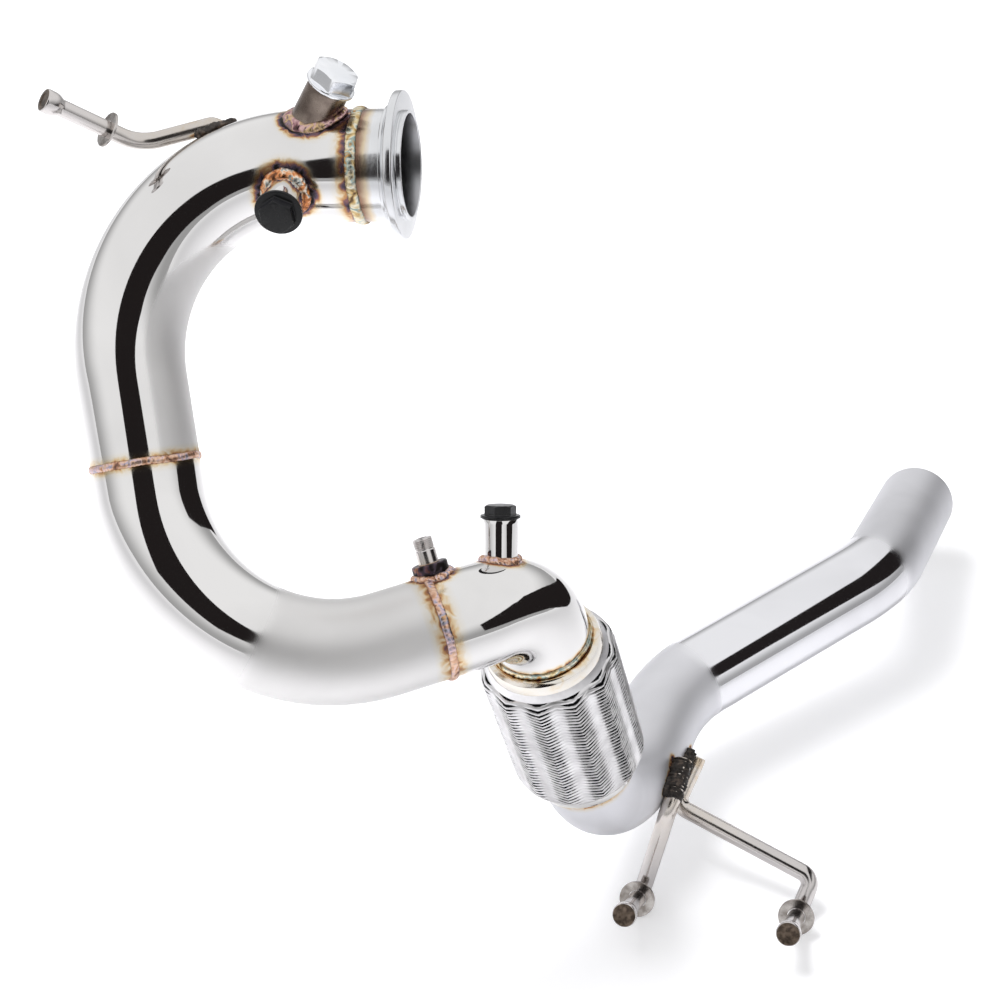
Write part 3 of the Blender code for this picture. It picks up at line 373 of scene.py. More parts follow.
# The bore's colour is painted dark: painted shade inside the tubes and the flange's bore
painted_shade_bore = plain_finish("bore_steel_painted_shade", 1.0, 0.30, (0.30, 0.30, 0.31), (0.46, 0.46, 0.48), 50.0)
plain_steel = plain_finish("inner_steel", 1.0, 0.3, (0.5, 0.49, 0.48), (0.62, 0.61, 0.60))
chrome = plain_finish("bright_plating", 1.0, 0.09, (0.84, 0.86, 0.90), (0.92, 0.93, 0.96), 40.0, 0.02)
black_oxide = plain_finish("black_oxide", 0.0, 0.28, (0.004, 0.004, 0.005), (0.010, 0.010, 0.011), 90.0)
black_oxide.node_tree.nodes["Principled BSDF"].inputs["Specular IOR Level"].default_value = 0.30
dark_end = plain_finish("dark_end", 1.0, 0.3, (0.06, 0.045, 0.035), (0.17, 0.13, 0.10), 300.0, 0.4)
flange_steel = flange_metal()
soot = soot_metal()
wire = braid_metal()


# Mesh makers

def as_array(points):
    return np.array([tuple(point) for point in points], dtype=float)


def add_object(name, data):
    obj = bpy.data.objects.new(name, data)
    bpy.context.scene.collection.objects.link(obj)
    return obj


def add_values(mesh, key, values):
    """A number for each vertex, which the materials read."""
    layer = mesh.attributes.new(key, "FLOAT", "POINT")
    layer.data.foreach_set("value", np.asarray(values, dtype=np.float32).ravel())


def make_object(name, verts, faces, materials, attributes, sharp, face_material=None):
    mesh = bpy.data.meshes.new(name)
    mesh.from_pydata([tuple(v) for v in verts], [], faces)
    for key, values in (attributes or {}).items():
        add_values(mesh, key, values)
    if face_material is not None:
        mesh.polygons.foreach_set("material_index", np.asarray(face_material, dtype=np.int32))
    for material in materials:
        mesh.materials.append(material)
    body = bmesh.new()
    body.from_mesh(mesh)
    bmesh.ops.recalc_face_normals(body, faces=body.faces)
    body.to_mesh(mesh)
    body.free()
    mesh.shade_smooth()
    mesh.set_sharp_from_angle(angle=math.radians(sharp))
    return add_object(name, mesh)


def grid_faces(rows, columns, wrap_rows):
    """Quads between rings of points. Each ring is closed, and the last one may join the first."""
    faces = []
    for row in range(rows if wrap_rows else rows - 1):
        here, after = row * columns, (row + 1) % rows * columns
        for column in range(columns):
            beside = (column + 1) % columns
            faces.append((here + column, here + beside, after + beside, after + column))
    return faces


def grid_object(name, rings, materials, capped=False, attributes=None, sharp=38.0, bands=None):
    """A skin over rings of points. It runs round to its first ring, or ends in two caps."""
    rings = [np.asarray(ring, dtype=float) for ring in rings]
    count = len(rings[0])
    faces = grid_faces(len(rings), count, not capped)
    indices = None
    if bands is not None:
        indices = [bands[k // count] for k in range(len(faces))]
    if capped:
        last = (len(rings) - 1) * count
        faces.append(tuple(range(count)))
        faces.append(tuple(last + k for k in range(count)))
        if indices is not None:
            indices += [bands[0], bands[-1]]
    return make_object(name, np.concatenate(rings), faces, materials, attributes, sharp, indices)


def circle(centre, first, second, radius, sides):
    angles = np.arange(sides) * (math.tau / sides)
    return (np.array(centre)[None, :] + np.outer(np.cos(angles) * radius, np.array(first))
            + np.outer(np.sin(angles) * radius, np.array(second)))


def across(axis, hint):
    """Two directions across an axis, the first one leaning to the hint."""
    first = (hint - axis * hint.dot(axis)).normalized()
    return first, axis.cross(first)


def lathe(name, origin, axis, profile, sides, materials, hint=Z_AXIS, bands=None):
    """A closed profile of (height, radius) turned about an axis."""
    first, second = across(axis, hint)
    rings = [circle(origin + axis * height, first, second, radius, sides) for height, radius in profile]
    return grid_object(name, rings, materials, sharp=30.0, bands=bands)


def transported(points):
    """Two directions across a line at each of its points, carried along without twist."""
    headings = []
    for index in range(len(points)):
        before = points[max(index - 1, 0)]
        after = points[min(index + 1, len(points) - 1)]
        headings.append((after - before).normalized())
    first = headings[0].orthogonal().normalized()
    frames = []
    for heading in headings:
        first = (first - heading * first.dot(heading)).normalized()
        frames.append((first, heading.cross(first)))
    return frames


# Stations, rings and tubes

TUBE_SIDES = 96
FINE_STEP = 1.2 * MM
FINE_COUNT = int(20 * MM / FINE_STEP)
LEAST_STEP = 0.6 * MM
SURFACE_STEP = 2.0 * MM
SURFACE_REACH = 70 * MM


def stations_between(start, end, step_straight, step_bend, fine=()):
    """Places along the route, closer together round the fine ones, where the tint changes fast."""
    marks = {start, end}
    for index, leg in enumerate(ROUTE.legs):
        leg_end = ROUTE.legs[index + 1][0] if index + 1 < len(ROUTE.legs) else ROUTE.length
        step = step_straight if leg[4] is None else step_bend * leg[4]
        count = max(1, math.ceil((leg_end - leg[0]) / step))
        marks.update(leg[0] + (leg_end - leg[0]) * k / count for k in range(count + 1))
    for place in fine:
        marks.update(place + k * FINE_STEP for k in range(-FINE_COUNT, FINE_COUNT + 1))
    ordered = [start]
    for mark in sorted(marks):
        if ordered[-1] + LEAST_STEP < mark < end - LEAST_STEP:
            ordered.append(mark)
    return ordered + [end]


def tube_rings(stations, radius):
    """A circle on the route at each station, carried along without twist."""
    first = ROUTE.frame(stations[0])[2]
    rings = []
    for station in stations:
        centre, heading, _ = ROUTE.frame(station)
        first = (first - heading * first.dot(heading)).normalized()
        rings.append(circle(centre, first, heading.cross(first), radius, TUBE_SIDES))
    return rings


def route_surface(start, end):
    count = int((end - start) / SURFACE_STEP)
    rings = tube_rings([start + (end - start) * k / count for k in range(count + 1)], TUBE_RADIUS)
    faces = grid_faces(len(rings), TUBE_SIDES, False)
    return BVHTree.FromPolygons([Vector(v) for v in np.concatenate(rings)], faces)


class Takeoff:
    """A straight axis that leaves the tube, and the surface that it stands on."""

    def __init__(self, station, clock, lean):
        self.origin, heading, _ = ROUTE.frame(station)
        self.axis = spoke(ROUTE.clock(station, clock), heading, math.radians(lean))
        self.first, self.second = across(self.axis, heading)
        self.surface = route_surface(max(station - SURFACE_REACH, 2 * MM), station + SURFACE_REACH)

    def point(self, radius, angle, height):
        return self.origin + self.axis * height + spoke(self.first, self.second, angle) * radius

    def foot(self, radius, angle):
        """The height at which a line beside the axis meets the tube."""
        hit = self.surface.ray_cast(self.point(radius, angle, 3.0 * TUBE_RADIUS), -self.axis)[0]
        return (hit - self.origin).dot(self.axis)

    def ring(self, radius, height, sides):
        return as_array([self.point(radius, angle, height) for angle in turns(sides)])

    def foot_ring(self, radius, lift, sides):
        return as_array([self.point(radius, angle, self.foot(radius, angle) + lift)
                         for angle in turns(sides)])


# Heat: each weld is an array of points with a reach and a level, and tints the steel round it
WELDS = []
HEAT_BATCH = 4000


def heat_at(verts):
    """How strongly the welds have tinted each point, from 0 to 1."""
    verts = np.asarray(verts, dtype=float)
    tint = np.zeros(len(verts))
    for points, reach, level in WELDS:
        middle = points.mean(axis=0)
        size = np.linalg.norm(points - middle, axis=1).max() + reach
        near = np.where(np.linalg.norm(verts - middle, axis=1) < size)[0]
        for start in range(0, len(near), HEAT_BATCH):
            part = near[start:start + HEAT_BATCH]
            gaps = np.linalg.norm(verts[part][:, None, :] - points[None, :, :], axis=2).min(axis=1)
            tint[part] = np.maximum(tint[part], level * np.clip(1.0 - gaps / reach, 0.0, 1.0))
    return tint


def tint_vertices(obj, least=0.0):
    verts = np.array([v.co for v in obj.data.vertices])
    add_values(obj.data, "tint", np.maximum(heat_at(verts), least))


PIECES = []


def add_piece(obj, node):
    obj.name = node + "_fine"
    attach(obj, "root")
    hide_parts(node)
    PIECES.append(obj)


# Weld beads round the tube and round the fittings

def dome(share):
    """A half circle's height: 1 at a share of 0, and 0 at -1 and 1."""
    return math.sqrt(max(0.0, 1.0 - share ** 2))


def add_bead(node, rings, dips, material):
    obj = grid_object(node, rings, [material], sharp=80.0, attributes={"dip": dips})
    add_piece(obj, node)


def add_ring_weld(node, station, width, height, pitch, material, reach, level, seed):
    """A rippled bead round the tube, a stack of overlapping crescents."""
    centre, heading, side = ROUTE.frame(station)
    other = heading.cross(side)
    sides, steps = 420, 12
    skin = TUBE_RADIUS - 0.15 * MM
    root, root_half = TUBE_RADIUS - 0.8 * MM, width / 2 * 0.9
    waves = round(math.tau * TUBE_RADIUS / pitch)
    rings, dips = [], []
    for angle in turns(sides):
        radial = spoke(side, other, angle)
        wander = noise.noise(radial * 3.0 + Vector((seed, 0.0, 0.0)))
        swell = 1.0 + 0.22 * noise.noise(radial * 5.0 + Vector((0.0, seed, 0.0)))
        row = []
        for j in range(steps + 1):
            share = -1.0 + 2.0 * j / steps
            phase = (waves * angle / math.tau + 0.55 * dome(share) + 0.35 * wander) % 1.0
            pillow = dome(2.0 * phase - 1.0)
            rise = height * swell * dome(share) * (0.80 + 0.20 * pillow)
            along = width / 2 * share * (0.82 + 0.16 * swell * pillow) + 0.7 * MM * wander
            row.append(centre + heading * along + radial * (skin + rise))
            dips.append(max((1.0 - pillow) ** 1.5, abs(share) ** 3.5))
        row.append(centre + heading * root_half + radial * root)
        row.append(centre - heading * root_half + radial * root)
        dips += [1.0, 1.0]
        rings.append(as_array(row))
    WELDS.append((circle(centre, side, other, TUBE_RADIUS, 120), reach + width / 2, level))
    add_bead(node, rings, dips, material)


def add_foot_weld(node, takeoff, radius, width, leg, pitch, material, reach, level, seed):
    """A rippled fillet between a fitting and the tube."""
    sides, steps = 300, 8
    sunk = 0.1 * MM
    waves = round(math.tau * (radius + width / 2) / pitch)
    inner = radius - sunk
    rings, dips, line = [], [], []
    for angle in turns(sides):
        foot = takeoff.foot(inner, angle)
        corner = takeoff.point(inner, angle, foot)
        direction = Vector((math.cos(angle), math.sin(angle), 0.0))
        wander = noise.noise(direction * 2.2 + Vector((seed, 0.0, 3.0)))
        top = takeoff.point(inner, angle, foot + leg * (1.0 + 0.25 * wander))
        outer = radius + width * (1.0 + 0.22 * wander)
        toe = takeoff.point(outer, angle, takeoff.foot(outer, angle) - sunk)
        middle = (top + toe) / 2 - corner
        row = []
        for j in range(steps + 1):
            share = j / steps
            phase = (waves * angle / math.tau + 0.6 * math.sin(math.pi * share) + 0.3 * wander) % 1.0
            pillow = dome(2.0 * phase - 1.0)
            bulge = 4.0 * share * (1.0 - share) * middle.length * (0.22 + 0.38 * pillow)
            row.append(top.lerp(toe, share) + middle.normalized() * bulge)
            dips.append(max((1.0 - pillow) ** 1.5, abs(2.0 * share - 1.0) ** 6))
        row.append(corner - takeoff.axis * FOOT_DEPTH)
        dips.append(1.0)
        rings.append(as_array(row))
        line.append(toe)
    WELDS.append((as_array(line[::3]), reach, level))
    add_bead(node, rings, dips, material)


FOOT_DEPTH = 0.6 * MM
FRONT = Takeoff(SPIGOT_END + 43.8 * MM, 144.8, -37.3)
SIDE = Takeoff(SPIGOT_END + 38.7 * MM, 54.0, 0.8)
REAR = Takeoff(ELBOW_JOINT + 43.2 * MM, 155.4, 0.2)
NIPPLE = Takeoff(ELBOW_JOINT + 5.7 * MM, 99.0, -0.9)
BUNG_BORE = 9.2 * MM
FRONT_BUNG, SIDE_BUNG, REAR_BUNG, BOSS = 12.1 * MM, 11.5 * MM, 10.8 * MM, 11.0 * MM
BEAD_OFFSET = 2.9 * MM

# Name, station, then in mm width, height and ripple; colours and their scale; the tint's reach in mm, its
# level, and a seed
for weld, station, width, height, pitch, stops, scale, reach, level, seed in (
        ("inlet_weld", SPIGOT_END, 7.0, 1.75, 3.4, GOLD, 150.0, 9, 0.95, 0.0),
        ("mid_weld", MID_JOINT, 4.9, 1.3, 2.6, COPPER, 190.0, 5, 0.62, 4.0),
        ("elbow_weld", ELBOW_JOINT, 5.7, 1.5, 2.8, COPPER, 150.0, 9, 0.66, 9.0),
        ("flex_inlet_weld", FLEX_START - BEAD_OFFSET, 4.9, 1.4, 3.4, GOLD, 120.0, 4.5, 0.85, 14.0),
        ("flex_outlet_weld", FLEX_END + BEAD_OFFSET, 4.6, 1.3, 2.8, COPPER, 150.0, 7, 0.6, 19.0)):
    add_ring_weld(weld, station, width * MM, height * MM, pitch * MM,
                  weld_metal(weld + "_metal", stops, scale), reach * MM, level, seed)

# Name, take-off, radius, then in mm width, leg and ripple; colours and the rest as above
for weld, takeoff, radius, width, leg, pitch, stops, scale, reach, level, seed in (
        ("front_sensor_bung_weld", FRONT, FRONT_BUNG, 3.4, 3.4, 3.6, ROSE, 150.0, 6, 0.98, 1.0),
        ("side_sensor_bung_weld", SIDE, SIDE_BUNG, 3.2, 3.6, 3.2, EMBER, 170.0, 7.5, 0.96, 2.0),
        ("rear_sensor_bung_weld", REAR, REAR_BUNG, 3.0, 3.0, 2.8, COPPER, 210.0, 5, 0.66, 3.0),
        ("pressure_nipple_weld", NIPPLE, BOSS, 2.6, 2.6, 2.6, COPPER, 210.0, 6, 0.7, 5.0)):
    add_foot_weld(weld, takeoff, radius, width * MM, leg * MM, pitch * MM,
                  weld_metal(weld + "_metal", stops, scale), reach * MM, level, seed)


# Hanger rods, laid out as in the part
FRONT_ROD_RADIUS = 4.9 * MM
REAR_ROD_RADIUS = 6.25 * MM
REAR_WASHER_RADIUS = 13.0 * MM
WASHER_THICKNESS = 1.6 * MM
HEAD_LENGTH = 11.0 * MM
# The head's outline: distance from the rod's end, and radius as a share of the rod's
ROD_HEAD = ((HEAD_LENGTH, 1.0), (HEAD_LENGTH * 0.9, 1.08), (HEAD_LENGTH * 0.78, 1.22),
            (HEAD_LENGTH * 0.62, 1.34), (HEAD_LENGTH * 0.45, 1.395), (HEAD_LENGTH * 0.25, 1.4),
            (1.2 * MM, 1.4), (0.5 * MM, 1.37), (0.1 * MM, 1.29), (0.0, 1.2), (0.02 * MM, 0.9),
            (0.5 * MM, 0.78), (0.5 * MM, 0.2))
DARK_BANDS = 4


def seat_place(seat, offset):
    """A point from a seat on the tube: out from its skin, along it and round it."""
    centre, heading, _ = ROUTE.frame(seat[0])
    out = ROUTE.clock(*seat)
    return centre + out * (TUBE_RADIUS + offset[0]) + heading * offset[1] + heading.cross(out) * offset[2]


def seat_direction(seat, offset):
    heading = ROUTE.frame(seat[0])[1]
    out = ROUTE.clock(*seat)
    return (out * offset[0] + heading * offset[1] + heading.cross(out) * offset[2]).normalized()


def on_outlet(places, height):
    """Points over the outlet pipe, from their run in mm past the flexible section and their clock angle."""
    return [ROUTE.on_tube(FLEX_END + run * MM, clock, height) for run, clock in places]


def rounded_path(points, fillets):
    """A line of points with its corners turned into arcs of the given radii."""
    step = math.radians(5.0)
    path = [points[0]]
    for before, corner, after, radius in zip(points, points[1:], points[2:], fillets):
        into = (corner - before).normalized()
        out = (after - corner).normalized()
        turn = into.angle(out)
        start = corner - into * radius * math.tan(turn / 2)
        axis = into.cross(out).normalized()
        centre = start + axis.cross(into) * radius
        steps = max(3, math.ceil(turn / step))
        for k in range(steps + 1):
            path.append(centre + Quaternion(axis, turn * k / steps) @ (start - centre))
    return path + [points[-1]]


def split_long(points, longest):
    """A line of points with more of them where its stretches are longer than the longest allowed."""
    path = [points[0]]
    for point in points[1:]:
        start = path[-1]
        count = max(1, math.ceil((point - start).length / longest))
        path += [start.lerp(point, k / count) for k in range(1, count + 1)]
    return path


def run_left(path, index):
    """Length along a path from one of its points to its end."""
    return sum((b - a).length for a, b in zip(path[index:], path[index + 1:]))


def add_rod(node, points, fillets, radius):
    """A bent rod with a flared head and a dark, chamfered end, tinted towards its foot."""
    path = split_long(rounded_path(points, fillets), 3.0 * MM)
    end = path[-1]
    back = (path[-2] - end).normalized()
    body = [point for index, point in enumerate(path) if run_left(path, index) > HEAD_LENGTH + 0.5 * MM]
    frames = transported(body)
    sides = 40
    radii = [radius * 0.93] + [radius] * (len(body) - 1)
    rings = [circle(point, *pair, size, sides) for point, pair, size in zip(body, frames, radii)]
    rings += [circle(end + back * distance, *frames[-1], radius * share, sides)
              for distance, share in ROD_HEAD]
    bands = [0] * (len(rings) - 1 - DARK_BANDS) + [1] * DARK_BANDS
    start = as_array(body[:4]).mean(axis=0)
    gaps = np.linalg.norm(np.concatenate(rings) - start, axis=1)
    tint = 0.24 * np.clip(1.0 - gaps / (80 * MM), 0.0, 1.0)
    obj = grid_object(node, rings, [satin, dark_end], capped=True, bands=bands, attributes={"tint": tint})
    add_piece(obj, node)


def add_washer(node, bend, direction, distance, rod_radius, radius):
    high, low = distance + WASHER_THICKNESS / 2, distance - WASHER_THICKNESS / 2
    bore = rod_radius + 0.32 * MM
    edge = 0.35 * MM
    profile = [(high, radius - edge), (high - edge, radius), (low + edge, radius), (low, radius - edge),
               (low, bore), (high, bore)]
    add_piece(lathe(node, bend, direction, profile, 64, [washer_steel]), node)


def add_blob_weld(node, lines, rough=0.5):
    """Lumpy sooted beads, each along a line of points with its own radius."""
    sides, step, ripple = 24, 0.8 * MM, 2.6 * MM
    verts, faces = [], []
    for points, radius in lines:
        path = split_long(points, step)
        base = len(verts)
        for index, (point, pair) in enumerate(zip(path, transported(path))):
            taper = math.sqrt(min(1.0, min(index, len(path) - 1 - index) / 4.0 + 0.05))
            wave = 1.0 + 0.14 * abs(math.sin(math.pi * index * step / ripple))
            for spot in circle(point, *pair, radius * taper * wave, sides):
                lump = 1.0 + rough * noise.noise(Vector(spot) * 420.0)
                verts.append(point + (Vector(spot) - point) * lump)
        faces += [tuple(base + k for k in face) for face in grid_faces(len(path), sides, False)]
        faces += [tuple(range(base, base + sides)), tuple(range(len(verts) - sides, len(verts)))]
    add_piece(make_object(node, verts, faces, [soot], None, 80.0), node)


FRONT_SEAT = (SPIGOT_END + 73.7 * MM, 183.4)
front_bend = seat_place(FRONT_SEAT, (9.0 * MM, 45.7 * MM, -7.9 * MM))
front_direction = seat_direction(FRONT_SEAT, (0.498, 0.488, -0.717))
front_line = [seat_place(FRONT_SEAT, (-3.0 * MM, -4.0 * MM, -0.5 * MM)),
              seat_place(FRONT_SEAT, (4.4 * MM, 3.0 * MM, -0.5 * MM)),
              front_bend, front_bend + front_direction * 62.0 * MM]
front_across = FRONT_ROD_RADIUS + 1.2 * MM
front_weld_line = [seat_place(FRONT_SEAT, (0.8 * MM, along, side)) for along, side in
                   ((14 * MM, -front_across), (0.0, -front_across), (-9 * MM, 0.0), (0.0, front_across),
                    (14 * MM, front_across))]
REAR_SEAT = (FLEX_END + 119.0 * MM, 110.0)
REAR_LIFT = REAR_ROD_RADIUS + GAP
BEAD_LIFT = 1.1 * MM
rear_direction = seat_direction(REAR_SEAT, (-0.017, -0.840, -0.542))
rear_head = rear_direction * 60.4 * MM
bend_a = seat_place(REAR_SEAT, (10.8 * MM, -55.2 * MM, 66.8 * MM))
bend_b = seat_place(REAR_SEAT, (117.7 * MM, -26.5 * MM, 38.8 * MM))
line_a = on_outlet(((118.0, 73.0), (88.7, 104.3)), REAR_LIFT) + [bend_a, bend_a + rear_head]
line_b = on_outlet([(140.0, 102.0)], REAR_LIFT) + [
    seat_place(REAR_SEAT, (6.0 * MM, -3.7 * MM, 20.2 * MM)),
    seat_place(REAR_SEAT, (116.3 * MM, -10.4 * MM, 17.4 * MM)), bend_b, bend_b + rear_head]
weld_a = on_outlet(((88, 91), (101, 77), (115, 65)), BEAD_LIFT)
weld_b = on_outlet(((97, 113), (117, 93), (131, 91), (141, 93)), BEAD_LIFT)
over_a = on_outlet(((90, 103), (119.5, 71.5)), REAR_LIFT - 0.5 * MM)
beside_a = on_outlet(((86, 94), (100, 79)), BEAD_LIFT)
WELDS.append((as_array(split_long(weld_a + weld_b, 3 * MM)), 5 * MM, 1.0))
WELDS.append((as_array(split_long(front_weld_line, 3 * MM)), 6 * MM, 1.0))

add_rod("front_hanger_rod", front_line, (5.5 * MM, 26 * MM), FRONT_ROD_RADIUS)
add_rod("rear_hanger_rod_a", line_a, (20 * MM, 9 * MM), REAR_ROD_RADIUS)
add_rod("rear_hanger_rod_b", line_b, (9 * MM, 9 * MM, 9 * MM), REAR_ROD_RADIUS)
add_washer("front_hanger_washer", front_bend, front_direction, 20.9 * MM, FRONT_ROD_RADIUS, 10.4 * MM)
for letter, bend in (("a", bend_a), ("b", bend_b)):
    add_washer("rear_hanger_washer_" + letter, bend, rear_direction, 14.8 * MM, REAR_ROD_RADIUS,
               REAR_WASHER_RADIUS)
add_blob_weld("front_hanger_weld", [(front_weld_line, 2.4 * MM)])
add_blob_weld("rear_hanger_weld_a", [(beside_a, 3.2 * MM), (over_a, 6.8 * MM)], rough=0.2)
add_blob_weld("rear_hanger_weld_b", [(weld_b, 4.4 * MM)])


# Tubes

def ease(value, low, high):
    """0 below low, 1 above high and smooth between them."""
    share = min(1.0, max(0.0, (value - low) / (high - low)))
    return share * share * (3.0 - 2.0 * share)


LOWER_SATIN = MID_JOINT + LOWER_LEAD + arc(LOWER_BEND) * 0.57
SECOND_BEND_END = FLEX_END + OUTLET_LEAD + arc(OUTLET_FIRST_BEND) + OUTLET_BETWEEN + arc(OUTLET_SECOND_BEND)
THIRD_BEND = SECOND_BEND_END + OUTLET_MIDDLE


def satin_at(node, station, normal):
    """How softly the tube reflects at a place: 0 is a mirror, 1 is satin."""
    if node == "upper_bend":
        return ease(normal[0], 0.50, 0.66) * ease(station, SPIGOT_END + 46 * MM, SPIGOT_END + 66 * MM)
    if node == "lower_bend":
        return ease(station, LOWER_SATIN - 8 * MM, LOWER_SATIN + 8 * MM) * 0.8
    if node == "outlet_pipe":
        return max(1.0 - ease(station, SECOND_BEND_END - 12 * MM, SECOND_BEND_END - 2 * MM),
                   ease(station, THIRD_BEND + 28 * MM, THIRD_BEND + 42 * MM))
    return 0.0


def add_tube(node, start, end, fine):
    """A length of tube with its heat tint, and a duller bore painted darker as shade inside the tube."""
    stations = stations_between(start, end, 10 * MM, math.radians(2.5), fine)
    outer = tube_rings(stations, TUBE_RADIUS)
    inner = tube_rings(stations_between(start, end, 20 * MM, math.radians(5.0)), TUBE_BORE)
    rings = outer + inner[::-1]
    bands = [0] * len(outer) + [1] * (len(inner) - 1) + [0]
    satin_share = [satin_at(node, station, (spot - np.array(ROUTE.frame(station)[0])) / TUBE_RADIUS)
                   for station, ring in zip(stations, outer) for spot in ring]
    satin_share += [0.0] * (len(inner) * TUBE_SIDES)
    skin = outlet_steel if node == "outlet_pipe" else polished
    obj = grid_object(node, rings, [skin, painted_shade_bore], bands=bands,
                      attributes={"tint": heat_at(np.concatenate(rings)), "satin": satin_share})
    add_piece(obj, node)


FLEX_OVERLAP = 6 * MM
add_tube("upper_bend", SPIGOT_END + GAP / 2, MID_JOINT - GAP / 2,
         (SPIGOT_END, SPIGOT_END + 42 * MM, SPIGOT_END + 74 * MM, MID_JOINT))
add_tube("lower_bend", MID_JOINT + GAP / 2, ELBOW_JOINT - GAP / 2, (MID_JOINT, ELBOW_JOINT))
add_tube("elbow", ELBOW_JOINT + GAP / 2, FLEX_START + FLEX_OVERLAP,
         (ELBOW_JOINT, ELBOW_JOINT + 40 * MM, FLEX_START))
add_tube("outlet_pipe", FLEX_END - FLEX_OVERLAP, ROUTE.length,
         (FLEX_END, FLEX_END + 98 * MM, FLEX_END + 130 * MM))


# Inlet flange

def add_flange():
    lip_bore, lip_wall, lip_height = 28.9 * MM, 2.0 * MM, 3.1 * MM
    lip = lip_bore + lip_wall
    soft = 0.4 * MM
    back = lip_height + 4.6 * MM
    cone_end = back + 2.6 * MM
    hub = TUBE_RADIUS + 1.9 * MM
    hub_end = cone_end + 1.8 * MM
    spigot_start = -hub_end - 0.6 * MM
    end = SPIGOT_END - GAP / 2
    rim, rounding = 41.9 * MM, 0.9 * MM
    quarter = [math.pi / 2 * k / 4 for k in range(5)]
    profile = [(0.0, lip - soft), (-0.12 * MM, lip - 0.12 * MM), (-soft, lip), (-lip_height + soft, lip),
               (-lip_height, lip + soft), (-lip_height, rim - rounding)]
    profile += [(-lip_height - rounding * (1 - math.cos(angle)), rim - rounding * (1 - math.sin(angle)))
                for angle in quarter[1:]]
    profile += [(-back + rounding * (1 - math.sin(angle)), rim - rounding * (1 - math.cos(angle)))
                for angle in quarter]
    profile += [(-cone_end, hub + 0.6 * MM), (-cone_end - 0.5 * MM, hub), (-hub_end, hub),
                (-hub_end - 0.3 * MM, hub - 0.2 * MM)]
    spigot_rings = 12
    step = (end - hub_end - 0.6 * MM) / spigot_rings
    profile += [(spigot_start - step * k, TUBE_RADIUS) for k in range(spigot_rings + 1)]
    bands = [0] * (len(profile) - 1) + [1] * 4 + [0] * 3
    profile += [(-end, TUBE_BORE), (-hub_end - 6 * MM, TUBE_BORE), (-hub_end - 2 * MM, lip_bore),
                (-soft, lip_bore), (-0.1 * MM, lip_bore + 0.15 * MM), (0.0, lip_bore + soft)]
    obj = lathe("inlet_flange_turned", Vector((0.0, 0.0, 0.0)), X_AXIS, profile, 128,
                [flange_steel, painted_shade_bore], bands=bands)
    tint_vertices(obj)
    add_piece(obj, "inlet_flange")


add_flange()


# Bungs, plugs and the nipple

def add_bung(node, takeoff, radius, height, material):
    sides, steps = 72, 12
    top = TUBE_RADIUS + height
    chamfer = 0.6 * MM
    slight = chamfer * 0.3
    shoulder = takeoff.ring(radius, top - chamfer, sides)
    foot = takeoff.foot_ring(radius, -FOOT_DEPTH, sides)
    rings = [takeoff.ring(radius - chamfer, top, sides), takeoff.ring(radius - slight, top - slight, sides)]
    rings += [shoulder + (foot - shoulder) * (k / steps) for k in range(steps + 1)]
    rings += [takeoff.foot_ring(BUNG_BORE, -FOOT_DEPTH, sides), takeoff.ring(BUNG_BORE, top, sides)]
    obj = grid_object(node, rings, [material], attributes={"tint": heat_at(np.concatenate(rings))})
    add_piece(obj, node)


def add_plug(node, takeoff, height, flange, flats, head, material):
    """Flanged hexagon plug: the head's top corners are cut by a cone."""
    sides = 96
    base = TUBE_RADIUS + height + GAP
    flange_top = base + 2.0 * MM
    head_top = flange_top + head
    stem, stem_length = 8.7 * MM, 9.0 * MM
    half = flats / 2

    def hex_ring(level, grow=0.0, drop_slope=0.0):
        """A hexagon across the axis, whose corners drop by their length past the cone."""
        ring = []
        for angle in turns(sides):
            radius = half / math.cos((angle + math.pi / 6) % (math.pi / 3) - math.pi / 6) + grow
            drop = max(0.0, radius - half * 0.97) * drop_slope
            ring.append(takeoff.point(radius, angle, level - drop))
        return as_array(ring)

    rings = [takeoff.ring(half * 0.5, head_top, sides), takeoff.ring(half * 0.965, head_top, sides),
             hex_ring(head_top + 0.05 * MM, -0.12 * MM, 0.55), hex_ring(head_top, 0.0, 0.62),
             hex_ring(flange_top + 0.5 * MM), hex_ring(flange_top + 0.1 * MM, 0.35 * MM)]
    widest = max(flange, half / math.cos(math.pi / 6) + 0.4 * MM)
    flange_rows = ((flange_top, widest - 0.6 * MM), (flange_top - 0.2 * MM, widest - 0.15 * MM),
                   (flange_top - 0.6 * MM, widest), (base + 0.5 * MM, widest),
                   (base + 0.1 * MM, widest - 0.15 * MM), (base, widest - 0.6 * MM), (base, stem),
                   (base - stem_length, stem))
    rings += [takeoff.ring(radius, level, sides) for level, radius in flange_rows]
    add_piece(grid_object(node, rings, [material], capped=True, sharp=25.0), node)


FRONT_HEIGHT, SIDE_HEIGHT, REAR_HEIGHT = 26.4 * MM, 18.3 * MM, 24.0 * MM
add_bung("front_sensor_bung", FRONT, FRONT_BUNG, FRONT_HEIGHT, burnt)
add_bung("side_sensor_bung", SIDE, SIDE_BUNG, SIDE_HEIGHT, polished)
add_bung("rear_sensor_bung", REAR, REAR_BUNG, REAR_HEIGHT, polished)
# Name, take-off, bung's height, then the flange's radius, the width across flats and the head's height
add_plug("front_sensor_plug", FRONT, FRONT_HEIGHT, 13.3 * MM, 24.0 * MM, 8.5 * MM, chrome)
add_plug("side_sensor_plug", SIDE, SIDE_HEIGHT, 13.5 * MM, 18.0 * MM, 6.0 * MM, black_oxide)
add_plug("rear_sensor_plug", REAR, REAR_HEIGHT, 12.3 * MM, 17.0 * MM, 6.0 * MM, black_oxide)


